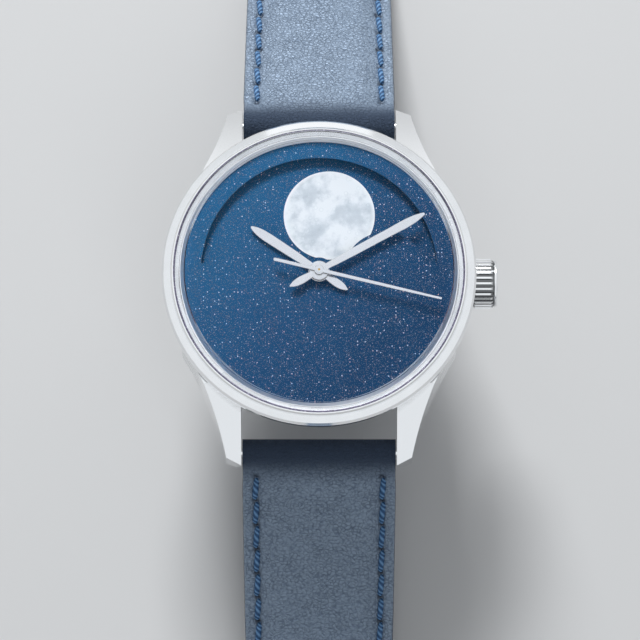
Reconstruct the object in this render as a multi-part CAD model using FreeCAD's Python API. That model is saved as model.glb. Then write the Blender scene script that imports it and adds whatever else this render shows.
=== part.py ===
import FreeCAD, Part
import math
import os

from FreeCAD import Placement, Rotation, Vector

# Moon phase wristwatch, in millimetres.
# +X points to 3 o'clock and the crown, +Y to 12 o'clock, +Z out through the crystal.
# The origin is on the case axis, in the flat outer face of the case back.

# Case sizes
BEZEL_R = 20.5
BEZEL_EDGE_Z = 10.4
BEZEL_UNDER_Z = 9.6
CASE_TOP_R = 20.05
CASE_TOP_Z = 9.35
CASE_LOW_R = 18.5
CASE_LOW_Z = 0.9
CAVITY_R = 17.2
COLLAR_R = 18.2
COLLAR_OUT_R = 18.7
DIAL_SEAT_Z = 10.0
CRYSTAL_R = 18.75
CRYSTAL_LOW_Z = 11.3
CRYSTAL_SIDE_Z = 12.05
CRYSTAL_CENTRE_Z = 13.55
HOLLOW_R = 17.45
VISIBLE_DIAL_R = 17.55

# Lugs and spring bars
LUG_GAP_HALF = 10.15
BAR_Y = 22.2
BAR_Z = 2.0
BAR_R = 0.9
BAR_HOLE_R = 0.45
BAR_TIP_R = 0.4
BAR_TIP_X = 11.2
LUG_TIP_Y = 24.1

# Crown and stem, both along X
STEM_Z = 4.4
STEM_R = 0.5
CROWN_R = 3.3
CROWN_IN_X = 20.05
CROWN_OUT_X = 23.35
CROWN_RIBS = 28
LEVER_AT = (13.4, -4.2)
LEVER_PIN_AT = (13.7, -0.45)

# Dial, moon aperture and moon disc
DIAL_Z = 10.3
DIAL_TOP_Z = 10.6
APERTURE_R = 15.4
HUMP_X = 8.6
HUMP_R = 5.35
HUB_LAND_R = 1.95
APERTURE_LOW_Y = 1.2
MOON_DISC_R = 15.6
MOON_DISC_Z = 9.5
MOON_DISC_T = 0.2
MOON_R = 5.95
MOON_ORBIT_R = 7.95
MOON_ANGLE = 90 - 9.6

# Hands: direction is anticlockwise from 3 o'clock, in degrees
HOUR_DIR = 90 + 56.0
MINUTE_DIR = 90 - 60.8
SECOND_DIR = 90 - 103.6
HOUR_HAND_Z = 10.95
MINUTE_HAND_Z = 11.35
SECOND_HAND_Z = 11.75
HAND_T = 0.15
HAND_BEVEL = 0.05

# Movement levels
PLATE_R = 15.0
RIM_R = 14.2
WINDING_Z = 2.3
BARREL_BRIDGE_Z = 2.65
TRAIN_BRIDGE_Z = 2.2
CHAMBER_Z = 3.2
PLATE_Z = 5.2
PLATE_TOP_Z = 6.6
MOON_PLATE_Z = 7.5
MOON_PLATE_TOP_Z = 8.0
MESH_GAP = 0.02
BORE_GAP = 0.03

# Gear teeth: (teeth, module)
BARREL_GEAR = (54, 0.18)
SECOND_PINION = (10, 0.18)
SECOND_GEAR = (64, 0.105)
THIRD_PINION = (8, 0.105)
THIRD_GEAR = (75, 0.09)
CENTRE_PINION = (10, 0.09)
CENTRE_GEAR = (70, 0.08)
ESCAPE_PINION = (7, 0.08)
CANNON_GEAR = (12, 0.15)
MINUTE_GEAR = (36, 0.15)
MINUTE_PINION = (10, 0.144)
HOUR_GEAR = (40, 0.144)
MOON_DRIVE_PINION = (12, 0.15)
MOON_GEAR_1 = (54, 0.15)
MOON_PINION_1 = (8, 0.1)
MOON_GEAR_2 = (80, 0.1)
MOON_PINION_2 = (6, 0.15)
MOON_DISC_GEAR = (63, 0.15)
RATCHET_GEAR = (44, 0.2)
CROWN_WHEEL_GEAR = (28, 0.2)
WINDING_PINION = (15, 0.18)
SLIDING_PINION = (12, 0.16)
ESCAPE_TEETH = 18

# Strap: each half slopes down from its spring bar, bends and lies flat as a foot
STRAP_W = 20.0
STRAP_END_W = 18.0
STRAP_SLOPE = 33.0
STRAP_STRAIGHT = 24.0
STRAP_BEND_R = 28.0
STRAP_LONG = 115.0
STRAP_SHORT = 75.0
STRAP_ROLL_R = 1.8
STRAP_TAPER = 62.0
STRAP_FULL_T = 4.0
STRAP_END_T = 2.6
LINING_T = 0.9
HOLE_R = 1.0
HOLE_PITCH = 6.5
HOLE_COUNT = 7
KEEPER_T = 0.8
KEEPER_W = 5.0
KEEPER_GAP = 0.6
BUCKLE_BAR_R = 0.75
TONGUE_SLOT = 3.0
EYE_R = 1.3

os.makedirs("parts", exist_ok=True)


def save(node, shape):
    """Write one node, after a test that it is sound."""
    if not shape.isValid():
        print("NOT VALID", node)
    shape.exportStep("parts/" + node + ".step")
    print(node, "solids", len(shape.Solids), "volume", round(shape.Volume, 3))


def group(solids):
    """Separate solids that share a node."""
    return Part.makeCompound(solids)


def polar(radius, degrees, centre=(0.0, 0.0)):
    """The point at a distance and direction from a centre."""
    turn = math.radians(degrees)
    return (centre[0] + radius * math.cos(turn), centre[1] + radius * math.sin(turn))


def direction(start, end):
    """Degrees from one point to another."""
    return math.degrees(math.atan2(end[1] - start[1], end[0] - start[0]))


def circle_meet(a, ra, b, rb, side):
    """Where the circles about a and b meet, on the left (1) or right (-1) of a to b."""
    gap = math.dist(a, b)
    along = (ra * ra - rb * rb + gap * gap) / (2 * gap)
    across = side * math.sqrt(ra * ra - along * along)
    ux, uy = (b[0] - a[0]) / gap, (b[1] - a[1]) / gap
    return (a[0] + along * ux - across * uy, a[1] + along * uy + across * ux)


def disc(radius, low, high, at=(0.0, 0.0)):
    """A round plate or post that stands along Z."""
    return Part.makeCylinder(radius, high - low, Vector(at[0], at[1], low))


def ring(inner, outer, low, high, at=(0.0, 0.0)):
    """A flat ring."""
    return disc(outer, low, high, at).cut(disc(inner, low - 1, high + 1, at))


def block(x0, x1, y0, y1, z0, z1):
    """A box between two corners."""
    return Part.makeBox(x1 - x0, y1 - y0, z1 - z0, Vector(x0, y0, z0))


def rod_x(radius, x0, x1, y=0.0, z=STEM_Z):
    """A round rod that lies along X."""
    return Part.makeCylinder(radius, x1 - x0, Vector(x0, y, z), Vector(1, 0, 0))


def plate(points, low, high):
    """A flat plate with straight sides."""
    loop = [Vector(x, y, low) for x, y in points]
    face = Part.Face(Part.makePolygon(loop + [loop[0]]))
    return face.extrude(Vector(0, 0, high - low))


def turned(edges):
    """A solid turned about Z from edges in the XZ plane."""
    face = Part.Face(Part.Wire(Part.__sortEdges__(edges)))
    return face.revolve(Vector(0, 0, 0), Vector(0, 0, 1), 360)


def lathe(points):
    """A solid turned about Z from (radius, height) corners."""
    corners = [Vector(r, 0, z) for r, z in points]
    count = len(corners)
    edges = [Part.makeLine(corners[i], corners[(i + 1) % count]) for i in range(count)]
    return turned(edges)


def arc_through(a, b, c):
    """An arc edge through three points."""
    return Part.Arc(a, b, c).toShape()


def placed(shape, degrees, at=(0.0, 0.0)):
    """A copy turned about Z and moved."""
    copy = shape.copy()
    turn = Placement(Vector(at[0], at[1], 0), Rotation(Vector(0, 0, 1), degrees))
    copy.Placement = turn.multiply(copy.Placement)
    return copy


def pitch_r(gear):
    """Pitch radius of a gear."""
    return gear[0] * gear[1] / 2


def centre_gap(gear, other):
    """Distance between two meshing gears."""
    return pitch_r(gear) + pitch_r(other) + MESH_GAP


def mesh_phase(gear, phase, at, other, other_at):
    """Direction of a tooth of the other gear that puts its gap on this gear's tooth."""
    line = direction(at, other_at)
    tooth_here = (line - phase) * gear[0] / 360
    return line + 180 - (0.5 - tooth_here) * 360 / other[0]


def toothed(gear, low, high, at=(0.0, 0.0), phase=0.0):
    """A toothed disc whose first tooth points along phase."""
    teeth, module = gear
    tip = pitch_r(gear) + 0.75 * module
    root = pitch_r(gear) - 0.95 * module
    step = 360 / teeth
    outline = []
    for tooth in range(teeth):
        middle = phase + tooth * step
        outline.append(polar(root, middle - 0.27 * step, at))
        outline.append(polar(tip, middle - 0.1 * step, at))
        outline.append(polar(tip, middle + 0.1 * step, at))
        outline.append(polar(root, middle + 0.27 * step, at))
    return plate(outline, low, high)


def crossed(wheel, rim_r, hub_r, low, high, at, phase, arms=4, arm_w=0.35):
    """Cut a wheel's web into arms."""
    window = ring(hub_r, rim_r, low - 0.1, high + 0.1)
    for arm in range(arms):
        bar = block(0, rim_r + 1, -arm_w / 2, arm_w / 2, low - 0.2, high + 0.2)
        window = window.cut(placed(bar, arm * 360 / arms))
    return wheel.cut(placed(window, phase, at))


def spiral_strip(r_in, r_out, turns, width, low, high, at, start):
    """A flat coiled strip, cut from a face between two spirals."""
    steps = int(turns * 12)
    sides = []
    for offset in (-width / 2, width / 2):
        line = []
        for i in range(steps + 1):
            radius = r_in + (r_out - r_in) * i / steps + offset
            x, y = polar(radius, start + 30 * i, at)
            line.append(Vector(x, y, low))
        curve = Part.BSplineCurve()
        curve.interpolate(line)
        sides.append((curve.toShape(), line))
    ends = [Part.makeLine(sides[0][1][k], sides[1][1][k]) for k in (0, -1)]
    wire = Part.Wire(Part.__sortEdges__([sides[0][0], ends[1], sides[1][0], ends[0]]))
    return Part.Face(wire).extrude(Vector(0, 0, high - low))


# Bridge screws: heading and the level of the bridge's outer face
SCREW_CIRCLE_R = 14.5
SCREW_R = 0.25
SCREW_HEAD_R = 0.42
SCREW_PLACES = [(75, BARREL_BRIDGE_Z), (20, BARREL_BRIDGE_Z), (-10, BARREL_BRIDGE_Z),
                (118, TRAIN_BRIDGE_Z), (172, TRAIN_BRIDGE_Z), (208, TRAIN_BRIDGE_Z),
                (248, TRAIN_BRIDGE_Z)]

# Places of the movement's wheels
BARREL_AT = polar(8.2, 62)
SECOND_AT = circle_meet((0, 0), 5.0, BARREL_AT, centre_gap(BARREL_GEAR, SECOND_PINION), 1)
THIRD_AT = circle_meet((0, 0), centre_gap(THIRD_GEAR, CENTRE_PINION), SECOND_AT,
                       centre_gap(SECOND_GEAR, THIRD_PINION), 1)
ESCAPE_AT = polar(centre_gap(CENTRE_GEAR, ESCAPE_PINION), 225)
FORK_AT = polar(5.7, 225)
BALANCE_AT = polar(8.6, 225)
CROWN_WHEEL_AT = circle_meet((0, 0), 9.6, BARREL_AT, centre_gap(RATCHET_GEAR, CROWN_WHEEL_GEAR), -1)
MINUTE_WHEEL_AT = circle_meet((0, 0), centre_gap(CANNON_GEAR, MINUTE_GEAR), SECOND_AT,
                              centre_gap(CANNON_GEAR, MINUTE_GEAR), -1)
MOON_WHEEL_1_AT = circle_meet((0, 0), 5.4, MINUTE_WHEEL_AT,
                              centre_gap(MOON_DRIVE_PINION, MOON_GEAR_1), -1)
MOON_WHEEL_2_AT = circle_meet((0, 0), centre_gap(MOON_PINION_2, MOON_DISC_GEAR), MOON_WHEEL_1_AT,
                              centre_gap(MOON_PINION_1, MOON_GEAR_2), -1)
CLICK_AT = polar(6.2, 8, BARREL_AT)
PIVOT_R = 0.12
POST_R = 0.15
PIVOT_LOW_Z = 2.3
PIVOT_TOP_Z = 5.7
ARBOR_LOW_Z = 3.3
ARBOR_TOP_Z = 5.1
WHEEL_T = 0.15
THIRD_WHEEL_Z = 3.5
CENTRE_WHEEL_Z = 4.35
SECOND_WHEEL_Z = 4.8
WINDING_TOP_Z = 2.6
BARREL_ARBOR_R = 0.75
BALANCE_Z = 3.72
FORK_Z = 4.75
FORK_T = 0.14


def lug(side_x, side_y):
    """One lug: a plan shape with a curved flank, cut to the lug's side view."""
    inner = LUG_GAP_HALF * side_x
    tip_in = Vector(inner, LUG_TIP_Y * side_y, 0)
    tip_out = Vector(12.1 * side_x, (LUG_TIP_Y - 0.9) * side_y, 0)
    flank = Vector(13.75 * side_x, 17.6 * side_y, 0)
    root = Vector(17.9 * side_x, 9.2 * side_y, 0)
    root_in = Vector(inner, 9.2 * side_y, 0)
    edges = [Part.makeLine(tip_in, tip_out), arc_through(tip_out, flank, root),
             Part.makeLine(root, root_in), Part.makeLine(root_in, tip_in)]
    plan = Part.Face(Part.Wire(edges)).extrude(Vector(0, 0, CASE_TOP_Z))

    def at(y, z):
        return Vector(0, y * side_y, z)

    top = arc_through(at(14.5, CASE_TOP_Z), at(19.6, 6.15), at(24.3, 3.0))
    under = arc_through(at(23.6, 0.25), at(20.5, 0.45), at(17.0, CASE_LOW_Z))
    side = [Part.makeLine(at(9.0, CASE_LOW_Z), at(9.0, CASE_TOP_Z)),
            Part.makeLine(at(9.0, CASE_TOP_Z), at(14.5, CASE_TOP_Z)), top,
            Part.makeLine(at(24.3, 3.0), at(23.6, 0.25)), under,
            Part.makeLine(at(17.0, CASE_LOW_Z), at(9.0, CASE_LOW_Z))]
    profile = Part.Face(Part.Wire(Part.__sortEdges__(side)))
    profile.translate(Vector(-30, 0, 0))
    return plan.common(profile.extrude(Vector(60, 0, 0)))


def make_case_middle():
    """Ring with a hollow flank, four lugs, spring bar holes and the stem's hole."""
    def at(r, z):
        return Vector(r, 0, z)

    flank = arc_through(at(CASE_LOW_R, CASE_LOW_Z), at(19.05, 4.6), at(CASE_TOP_R, 9.05))
    corners = [(CASE_TOP_R, 9.05), (19.8, CASE_TOP_Z), (COLLAR_OUT_R, CASE_TOP_Z),
               (COLLAR_OUT_R, 11.25), (COLLAR_R, 11.25), (COLLAR_R, DIAL_SEAT_Z),
               (CAVITY_R, DIAL_SEAT_Z), (CAVITY_R, 1.3), (17.5, 1.3),
               (17.5, CASE_LOW_Z), (CASE_LOW_R, CASE_LOW_Z)]
    edges = [flank]
    for a, b in zip(corners, corners[1:]):
        edges.append(Part.makeLine(at(*a), at(*b)))
    body = turned(edges)
    core = disc(COLLAR_OUT_R, CASE_LOW_Z - 1, 12)
    for side_x in (-1, 1):
        for side_y in (-1, 1):
            body = body.fuse(lug(side_x, side_y).cut(core))
    for side_y in (-1, 1):
        hole_y = BAR_Y * side_y
        body = body.cut(rod_x(BAR_HOLE_R, -11.35, 11.35, hole_y, BAR_Z))
    body = body.cut(rod_x(1.25, 16, 22))
    return body.removeSplitter()


def make_bezel():
    """Polished ring that overhangs the case, with a shadow gap under its edge."""
    return lathe([(COLLAR_OUT_R + 0.02, CASE_TOP_Z), (19.3, CASE_TOP_Z), (19.5, BEZEL_UNDER_Z),
                  (20.3, BEZEL_UNDER_Z), (BEZEL_R, 9.85), (BEZEL_R, BEZEL_EDGE_Z),
                  (20.25, 10.85), (19.45, 11.32), (19.38, 11.28), (19.34, 11.42),
                  (19.15, 11.7), (19.0, 11.7), (19.0, CRYSTAL_LOW_Z),
                  (COLLAR_OUT_R + 0.02, CRYSTAL_LOW_Z)])


def dome_ball(edge_r, edge_z, top_z):
    """A ball whose cap passes through a round edge and a top point; its poles lie far off."""
    rise = top_z - edge_z
    radius = (edge_r * edge_r + rise * rise) / (2 * rise)
    return Part.makeSphere(radius, Vector(0, 0, top_z - radius), Vector(1, 0, 0))


def make_crystal():
    """Box crystal with a bevelled corner and a low dome, hollow above the dial."""
    corner_r = CRYSTAL_R - 0.5
    corner_z = CRYSTAL_SIDE_Z + 0.4
    body = lathe([(0, CRYSTAL_LOW_Z), (CRYSTAL_R, CRYSTAL_LOW_Z), (CRYSTAL_R, CRYSTAL_SIDE_Z),
                  (corner_r, corner_z), (corner_r, 14.5), (0, 14.5)])
    body = body.common(dome_ball(corner_r, corner_z, CRYSTAL_CENTRE_Z))
    hollow = lathe([(0, 10.0), (18.18, 10.0), (18.18, CRYSTAL_LOW_Z), (17.6, 11.6), (HOLLOW_R, 12.0),
                    (HOLLOW_R, 13.2), (0, 13.2)])
    return body.cut(hollow.common(dome_ball(HOLLOW_R, 12.0, 12.6)))


def make_case_back():
    """Screwed ring with six key slots and a seat for the display crystal."""
    body = lathe([(14.6, 0), (17.7, 0), (18.4, 0.45), (18.4, 0.88), (17.15, 0.88),
                  (17.15, 1.9), (14.0, 1.9), (14.0, 1.3), (14.6, 1.3)])
    slot = block(16.4, 19, -0.9, 0.9, -1, 0.35)
    for k in range(6):
        body = body.cut(placed(slot, 60 * k + 30))
    return body


def make_movement_ring():
    """Spacer that centres the movement and carries the dial."""
    body = lathe([(15.05, 3.0), (17.15, 3.0), (17.15, 9.98), (15.9, 9.98), (15.9, 8.0), (15.05, 8.0)])
    return body.cut(rod_x(1.3, 10, 20))


def aperture(low, high, grow=0.0):
    """The moon window: a round top and two humps below."""
    shape = disc(APERTURE_R + grow, low, high)
    shape = shape.common(block(-20, 20, APERTURE_LOW_Y - grow, 20, low, high))
    for side in (-1, 1):
        shape = shape.cut(disc(HUMP_R - grow, low - 1, high + 1, (HUMP_X * side, 0)))
    return shape.cut(disc(HUB_LAND_R - grow, low - 1, high + 1))


def make_dial_layer(low, high, grow):
    """One layer of the dial, with the moon window and the centre hole."""
    body = disc(COLLAR_R - 0.05, low, high)
    return body.cut(aperture(low - 0.1, high + 0.1, grow)).cut(disc(1.0, low - 1, high + 1))


def hand_outline(points, tip_r, tail_r, inset, z):
    """A hand's outline from half widths along its length, drawn in by an inset."""
    upper = [Vector(s, w - inset, z) for s, w in points]
    lower = [Vector(s, inset - w, z) for s, w in points]
    sides = []
    for side in (upper, lower):
        curve = Part.BSplineCurve()
        curve.interpolate(side)
        sides.append(curve.toShape())
    tail = arc_through(upper[0], Vector(points[0][0] - tail_r, 0, z), lower[0])
    tip = arc_through(lower[-1], Vector(points[-1][0] + tip_r, 0, z), upper[-1])
    return Part.Wire(Part.__sortEdges__([sides[0], tail, sides[1], tip]))


def hand(points, tip_r, tail_r, hub_r, bore_r, z, heading):
    """A hand with bevelled rims and a round hub."""
    bevel_z = z + HAND_T - HAND_BEVEL
    base = hand_outline(points, tip_r, tail_r, 0, z)
    body = Part.Face(base).extrude(Vector(0, 0, HAND_T - HAND_BEVEL))
    low = hand_outline(points, tip_r, tail_r, 0, bevel_z)
    high = hand_outline(points, tip_r - 0.02, tail_r - 0.02, HAND_BEVEL, z + HAND_T)
    body = body.fuse(Part.makeLoft([low, high], True, True))
    body = body.fuse(lathe([(0, z), (hub_r, z), (hub_r, bevel_z), (hub_r - HAND_BEVEL, z + HAND_T),
                            (0, z + HAND_T)]))
    body = body.cut(disc(bore_r, z - 1, z + 1))
    return placed(body, heading)


def make_seconds_hand():
    """Thin hand with a boss that sits on the seconds arbor."""
    points = [(-6.0, 0.22), (-3.0, 0.22), (0.0, 0.23), (8.0, 0.22), (16.3, 0.16)]
    body = hand(points, 0.1, 0.1, 0.62, 0.16, SECOND_HAND_Z, SECOND_DIR)
    return body.fuse(ring(0.16, 0.42, SECOND_HAND_Z - 0.1, SECOND_HAND_Z + 0.24)).removeSplitter()


def make_minute_hand():
    """Leaf-shaped minute hand with a narrow waist and a short tail."""
    points = [(-4.25, 0.14), (-3.5, 0.44), (-2.4, 0.52), (-1.2, 0.4), (0.0, 0.36), (1.6, 0.42),
              (6.0, 0.52), (11.0, 0.56), (14.6, 0.44), (15.55, 0.22)]
    return hand(points, 0.2, 0.15, 1.25, 0.45, MINUTE_HAND_Z, MINUTE_DIR)


def make_hour_hand():
    """Leaf-shaped hour hand, shorter and wider than the minute hand."""
    points = [(-4.35, 0.14), (-3.6, 0.46), (-2.5, 0.54), (-1.3, 0.42), (0.0, 0.38), (1.6, 0.46),
              (4.5, 0.58), (7.5, 0.62), (9.8, 0.46), (10.5, 0.22)]
    return hand(points, 0.2, 0.15, 1.38, 0.8, HOUR_HAND_Z, HOUR_DIR)


def make_mainplate():
    """Plate on the dial side, with a rim and a block for the stem and its pinions."""
    body = disc(PLATE_R, PLATE_Z, PLATE_TOP_Z)
    body = body.fuse(ring(RIM_R, PLATE_R, CHAMBER_Z, PLATE_Z))
    body = body.fuse(block(6.3, 14.6, -2.6, 2.6, CHAMBER_Z, PLATE_Z))
    body = body.fuse(ring(RIM_R, PLATE_R, PLATE_TOP_Z, MOON_PLATE_Z))
    for at in (THIRD_AT, ESCAPE_AT, FORK_AT, BALANCE_AT, BARREL_AT):
        body = body.cut(disc(0.4, PLATE_Z - 0.2, PLATE_Z + 0.6, at))
    body = body.cut(disc(0.55, PLATE_Z - 1, PLATE_TOP_Z + 1, SECOND_AT))
    body = body.cut(disc(0.62, PLATE_Z - 1, PLATE_TOP_Z + 1))
    body = body.cut(block(7.9, 10.45, -1.3, 1.3, CHAMBER_Z - 1, PLATE_TOP_Z - 0.4))
    body = body.cut(block(10.45, 12.3, -1.75, 1.75, CHAMBER_Z - 1, PLATE_TOP_Z - 0.4))
    body = body.cut(rod_x(0.33, 5.0, 16.0)).cut(rod_x(0.55, 7.9, 16.0))
    body = body.cut(disc(0.25, PLATE_TOP_Z - 0.8, PLATE_TOP_Z + 1, MINUTE_WHEEL_AT))
    pin_x, pin_y = LEVER_PIN_AT
    body = body.cut(block(pin_x - 0.3, pin_x + 1.2, pin_y - 0.6, 0.3, 3.7, PLATE_TOP_Z + 0.1))
    body = body.cut(disc(0.33, PLATE_TOP_Z - 0.8, PLATE_TOP_Z + 1, LEVER_AT))
    body = body.cut(block(12.3, 15.5, -5.6, 0.9, PLATE_TOP_Z, MOON_PLATE_Z + 0.1))
    for place in SCREW_PLACES:
        body = body.cut(disc(SCREW_R, CHAMBER_Z - 0.1, CHAMBER_Z + 0.7, polar(SCREW_CIRCLE_R, place[0])))
    return body.removeSplitter()


def bridge(outline, low, high, holes):
    """A bridge cut to the plate's round edge, with holes for stones, posts and screws."""
    body = plate(outline, low, high).common(disc(PLATE_R - 0.15, low - 1, high + 1))
    for at, radius in holes:
        body = body.cut(disc(radius, low - 1, high + 1, at))
    for heading, level in SCREW_PLACES:
        body = body.cut(disc(SCREW_R, low - 1, high + 1, polar(SCREW_CIRCLE_R, heading)))
    return body


def make_barrel_bridge():
    """Bridge over the barrel, open above the winding pinion."""
    outline = [(-2.6, 15), (-2.6, 8.6), (1.4, 4.4), (1.4, 1.2), (6.6, -3.4), (15, -6.0),
               (15, 15)]
    body = bridge(outline, BARREL_BRIDGE_Z, CHAMBER_Z,
                  [(BARREL_AT, 0.86), (CROWN_WHEEL_AT, 0.72), (CLICK_AT, 0.42)])
    return body.cut(block(10.4, 12.3, -1.8, 1.8, BARREL_BRIDGE_Z - 1, CHAMBER_Z + 1))


def make_train_bridge():
    """Bridge over the second, third, seconds and escape wheels."""
    outline = [(-3.0, 15), (-3.0, 8.4), (1.0, 4.2), (1.0, 1.0), (3.9, -1.7), (0.5, -4.4),
               (-3.6, -2.4), (-6.6, -0.4), (-15, -1.4), (-15, 15)]
    holes = [(SECOND_AT, 0.5), (THIRD_AT, 0.4), ((0, 0), 0.4), (ESCAPE_AT, 0.36)]
    body = bridge(outline, TRAIN_BRIDGE_Z, CHAMBER_Z, holes)
    return body.cut(disc(4.7, TRAIN_BRIDGE_Z - 1, BARREL_BRIDGE_Z, BARREL_AT))


def make_balance_cock():
    """Cock that reaches in over the balance from the plate's rim."""
    outline = [(-14.5, -2.2), (-7.4, -4.3), (-4.6, -4.6), (-4.4, -7.2), (-2.4, -14.8), (-15, -14.8)]
    body = bridge(outline, TRAIN_BRIDGE_Z, CHAMBER_Z, [(BALANCE_AT, 0.5)])
    return body.cut(disc(RIM_R - 0.2, CHAMBER_Z - 0.1, CHAMBER_Z + 1)).removeSplitter()


def jewel(at, low, high, outer, bore=PIVOT_R + BORE_GAP):
    """A bearing stone with its hole."""
    return ring(bore, outer, low, high, at)


def make_jewels():
    """Bearing stones, pressed in the bridges and in the mainplate."""
    stones = [jewel(SECOND_AT, 2.2, CHAMBER_Z, 0.5), jewel(THIRD_AT, 2.2, CHAMBER_Z, 0.4),
              jewel((0, 0), 2.2, CHAMBER_Z, 0.4), jewel(ESCAPE_AT, 2.2, CHAMBER_Z, 0.36),
              jewel(BALANCE_AT, 2.2, CHAMBER_Z - 0.1, 0.5)]
    for at in (THIRD_AT, ESCAPE_AT, FORK_AT, BALANCE_AT):
        stones.append(jewel(at, PLATE_Z, PLATE_Z + 0.6, 0.4))
    return group(stones)


def slotted_screw(heading, low):
    """A bridge screw with its slotted head at the low end."""
    at = polar(SCREW_CIRCLE_R, heading)
    head = disc(SCREW_HEAD_R, low - 0.25, low, at)
    slot = block(at[0] - 1, at[0] + 1, at[1] - 0.07, at[1] + 0.07, low - 1, low - 0.12)
    return head.cut(slot).fuse(disc(SCREW_R - 0.02, low, CHAMBER_Z + 0.6, at)).removeSplitter()


def make_hairspring():
    """Balance spring: four and a half curls and its stud."""
    r_in, r_out, turns, width, start = 0.55, 2.9, 4.5, 0.06, 40
    coil = spiral_strip(r_in, r_out, turns, width, 3.32, 3.52, BALANCE_AT, start)
    stud_at = polar(r_out, start + turns * 360, BALANCE_AT)
    collet = ring(0.3, r_in + 0.01, 3.3, 3.54, BALANCE_AT)
    least = (r_out - r_in) / turns - width
    print("hairspring: least gap between curls", round(least, 3), "mm")
    return coil.fuse(disc(0.2, 3.1, 3.54, stud_at)).fuse(collet).removeSplitter()


def make_second_wheel():
    """Second wheel: pinion in the barrel's teeth, arbor through the plate."""
    phase = mesh_phase(BARREL_GEAR, 0, BARREL_AT, SECOND_PINION, SECOND_AT)
    body = toothed(SECOND_PINION, 3.9, 4.5, SECOND_AT, phase)
    low, high = SECOND_WHEEL_Z, SECOND_WHEEL_Z + WHEEL_T
    wheel = toothed(SECOND_GEAR, low, high, SECOND_AT, phase)
    body = body.fuse(crossed(wheel, 2.7, 0.8, low, high, SECOND_AT, phase, 5))
    body = body.fuse(disc(0.3, ARBOR_LOW_Z, 7.35, SECOND_AT))
    return body.fuse(disc(PIVOT_R, PIVOT_LOW_Z, ARBOR_LOW_Z, SECOND_AT)).removeSplitter(), phase


def make_third_wheel(second_phase):
    """Third wheel: its pinion is driven by the second wheel, its wheel drives the centre."""
    phase = mesh_phase(SECOND_GEAR, second_phase, SECOND_AT, THIRD_PINION, THIRD_AT)
    body = toothed(THIRD_PINION, 4.65, 5.1, THIRD_AT, phase)
    low, high = THIRD_WHEEL_Z, THIRD_WHEEL_Z + WHEEL_T
    wheel = toothed(THIRD_GEAR, low, high, THIRD_AT, phase)
    body = body.fuse(crossed(wheel, 2.8, 0.6, low, high, THIRD_AT, phase, 5))
    body = body.fuse(disc(0.3, ARBOR_LOW_Z, 4.7, THIRD_AT))
    body = body.fuse(disc(PIVOT_R, PIVOT_LOW_Z, PIVOT_TOP_Z, THIRD_AT))
    return body.removeSplitter(), phase


def make_seconds_wheel(third_phase):
    """Central seconds wheel, whose long arbor carries the seconds hand."""
    phase = mesh_phase(THIRD_GEAR, third_phase, THIRD_AT, CENTRE_PINION, (0, 0))
    body = toothed(CENTRE_PINION, 3.4, 3.75, (0, 0), phase)
    low, high = CENTRE_WHEEL_Z, CENTRE_WHEEL_Z + WHEEL_T
    wheel = toothed(CENTRE_GEAR, low, high, (0, 0), phase)
    body = body.fuse(crossed(wheel, 2.25, 0.55, low, high, (0, 0), phase, 4, 0.3))
    body = body.fuse(disc(0.3, ARBOR_LOW_Z, 4.9)).fuse(disc(PIVOT_R, PIVOT_LOW_Z, ARBOR_LOW_Z))
    return body.fuse(disc(0.15, 4.9, SECOND_HAND_Z + HAND_T)).removeSplitter(), phase


def make_escape_wheel(centre_phase):
    """Escape wheel: hooked teeth on the fork's level, pinion in the centre wheel."""
    phase = mesh_phase(CENTRE_GEAR, centre_phase, (0, 0), ESCAPE_PINION, ESCAPE_AT)
    body = toothed(ESCAPE_PINION, 4.25, 4.6, ESCAPE_AT, phase)
    outline = []
    step = 360 / ESCAPE_TEETH
    for tooth in range(ESCAPE_TEETH):
        for radius, share in ((1.5, -0.2), (1.85, 0.25), (1.85, 0.4), (1.5, 0.25)):
            outline.append(polar(radius, (tooth + share) * step, ESCAPE_AT))
    wheel = plate(outline, FORK_Z, FORK_Z + FORK_T)
    body = body.fuse(crossed(wheel, 1.3, 0.4, FORK_Z, FORK_Z + FORK_T, ESCAPE_AT, 0, 4, 0.2))
    body = body.fuse(disc(0.22, ARBOR_LOW_Z, ARBOR_TOP_Z, ESCAPE_AT))
    return body.fuse(disc(PIVOT_R, PIVOT_LOW_Z, PIVOT_TOP_Z, ESCAPE_AT)).removeSplitter()


def make_pallet_fork():
    """Fork with two arms towards the escape wheel and a forked tail at the balance."""
    aim = 225.0
    arms = [(-0.95, -1.25), (-0.75, -1.3), (0.0, -0.35), (2.0, -0.14), (2.35, -0.34),
            (2.4, -0.2), (2.2, 0.0), (2.4, 0.2), (2.35, 0.34), (2.0, 0.14), (0.0, 0.35),
            (-0.75, 1.3), (-0.95, 1.25), (-0.3, 0.0)]
    body = placed(plate(arms, FORK_Z, FORK_Z + FORK_T), aim, FORK_AT)
    body = body.fuse(disc(0.28, FORK_Z - 0.2, ARBOR_TOP_Z, FORK_AT))
    return body.fuse(disc(PIVOT_R, ARBOR_TOP_Z, PIVOT_TOP_Z, FORK_AT)).removeSplitter()


def make_balance():
    """Balance: rim, crossed arms, staff, and the roller with its pin beside the fork."""
    low, high = BALANCE_Z, BALANCE_Z + 0.4
    body = ring(3.6, 4.15, low, high, BALANCE_AT)
    for k in range(2):
        bar = placed(block(-3.8, 3.8, -0.25, 0.25, low, low + 0.18), 90 * k + 20, BALANCE_AT)
        body = body.fuse(bar)
    body = body.fuse(disc(0.6, low, high, BALANCE_AT))
    body = body.fuse(disc(0.22, 3.58, ARBOR_TOP_Z, BALANCE_AT))
    body = body.fuse(disc(PIVOT_R, PIVOT_LOW_Z, PIVOT_TOP_Z, BALANCE_AT))
    body = body.fuse(disc(0.42, FORK_Z - 0.2, FORK_Z - 0.08, BALANCE_AT))
    body = body.fuse(disc(0.06, FORK_Z - 0.1, FORK_Z + 0.12, polar(0.3, 45, BALANCE_AT)))
    return body.removeSplitter()


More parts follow.
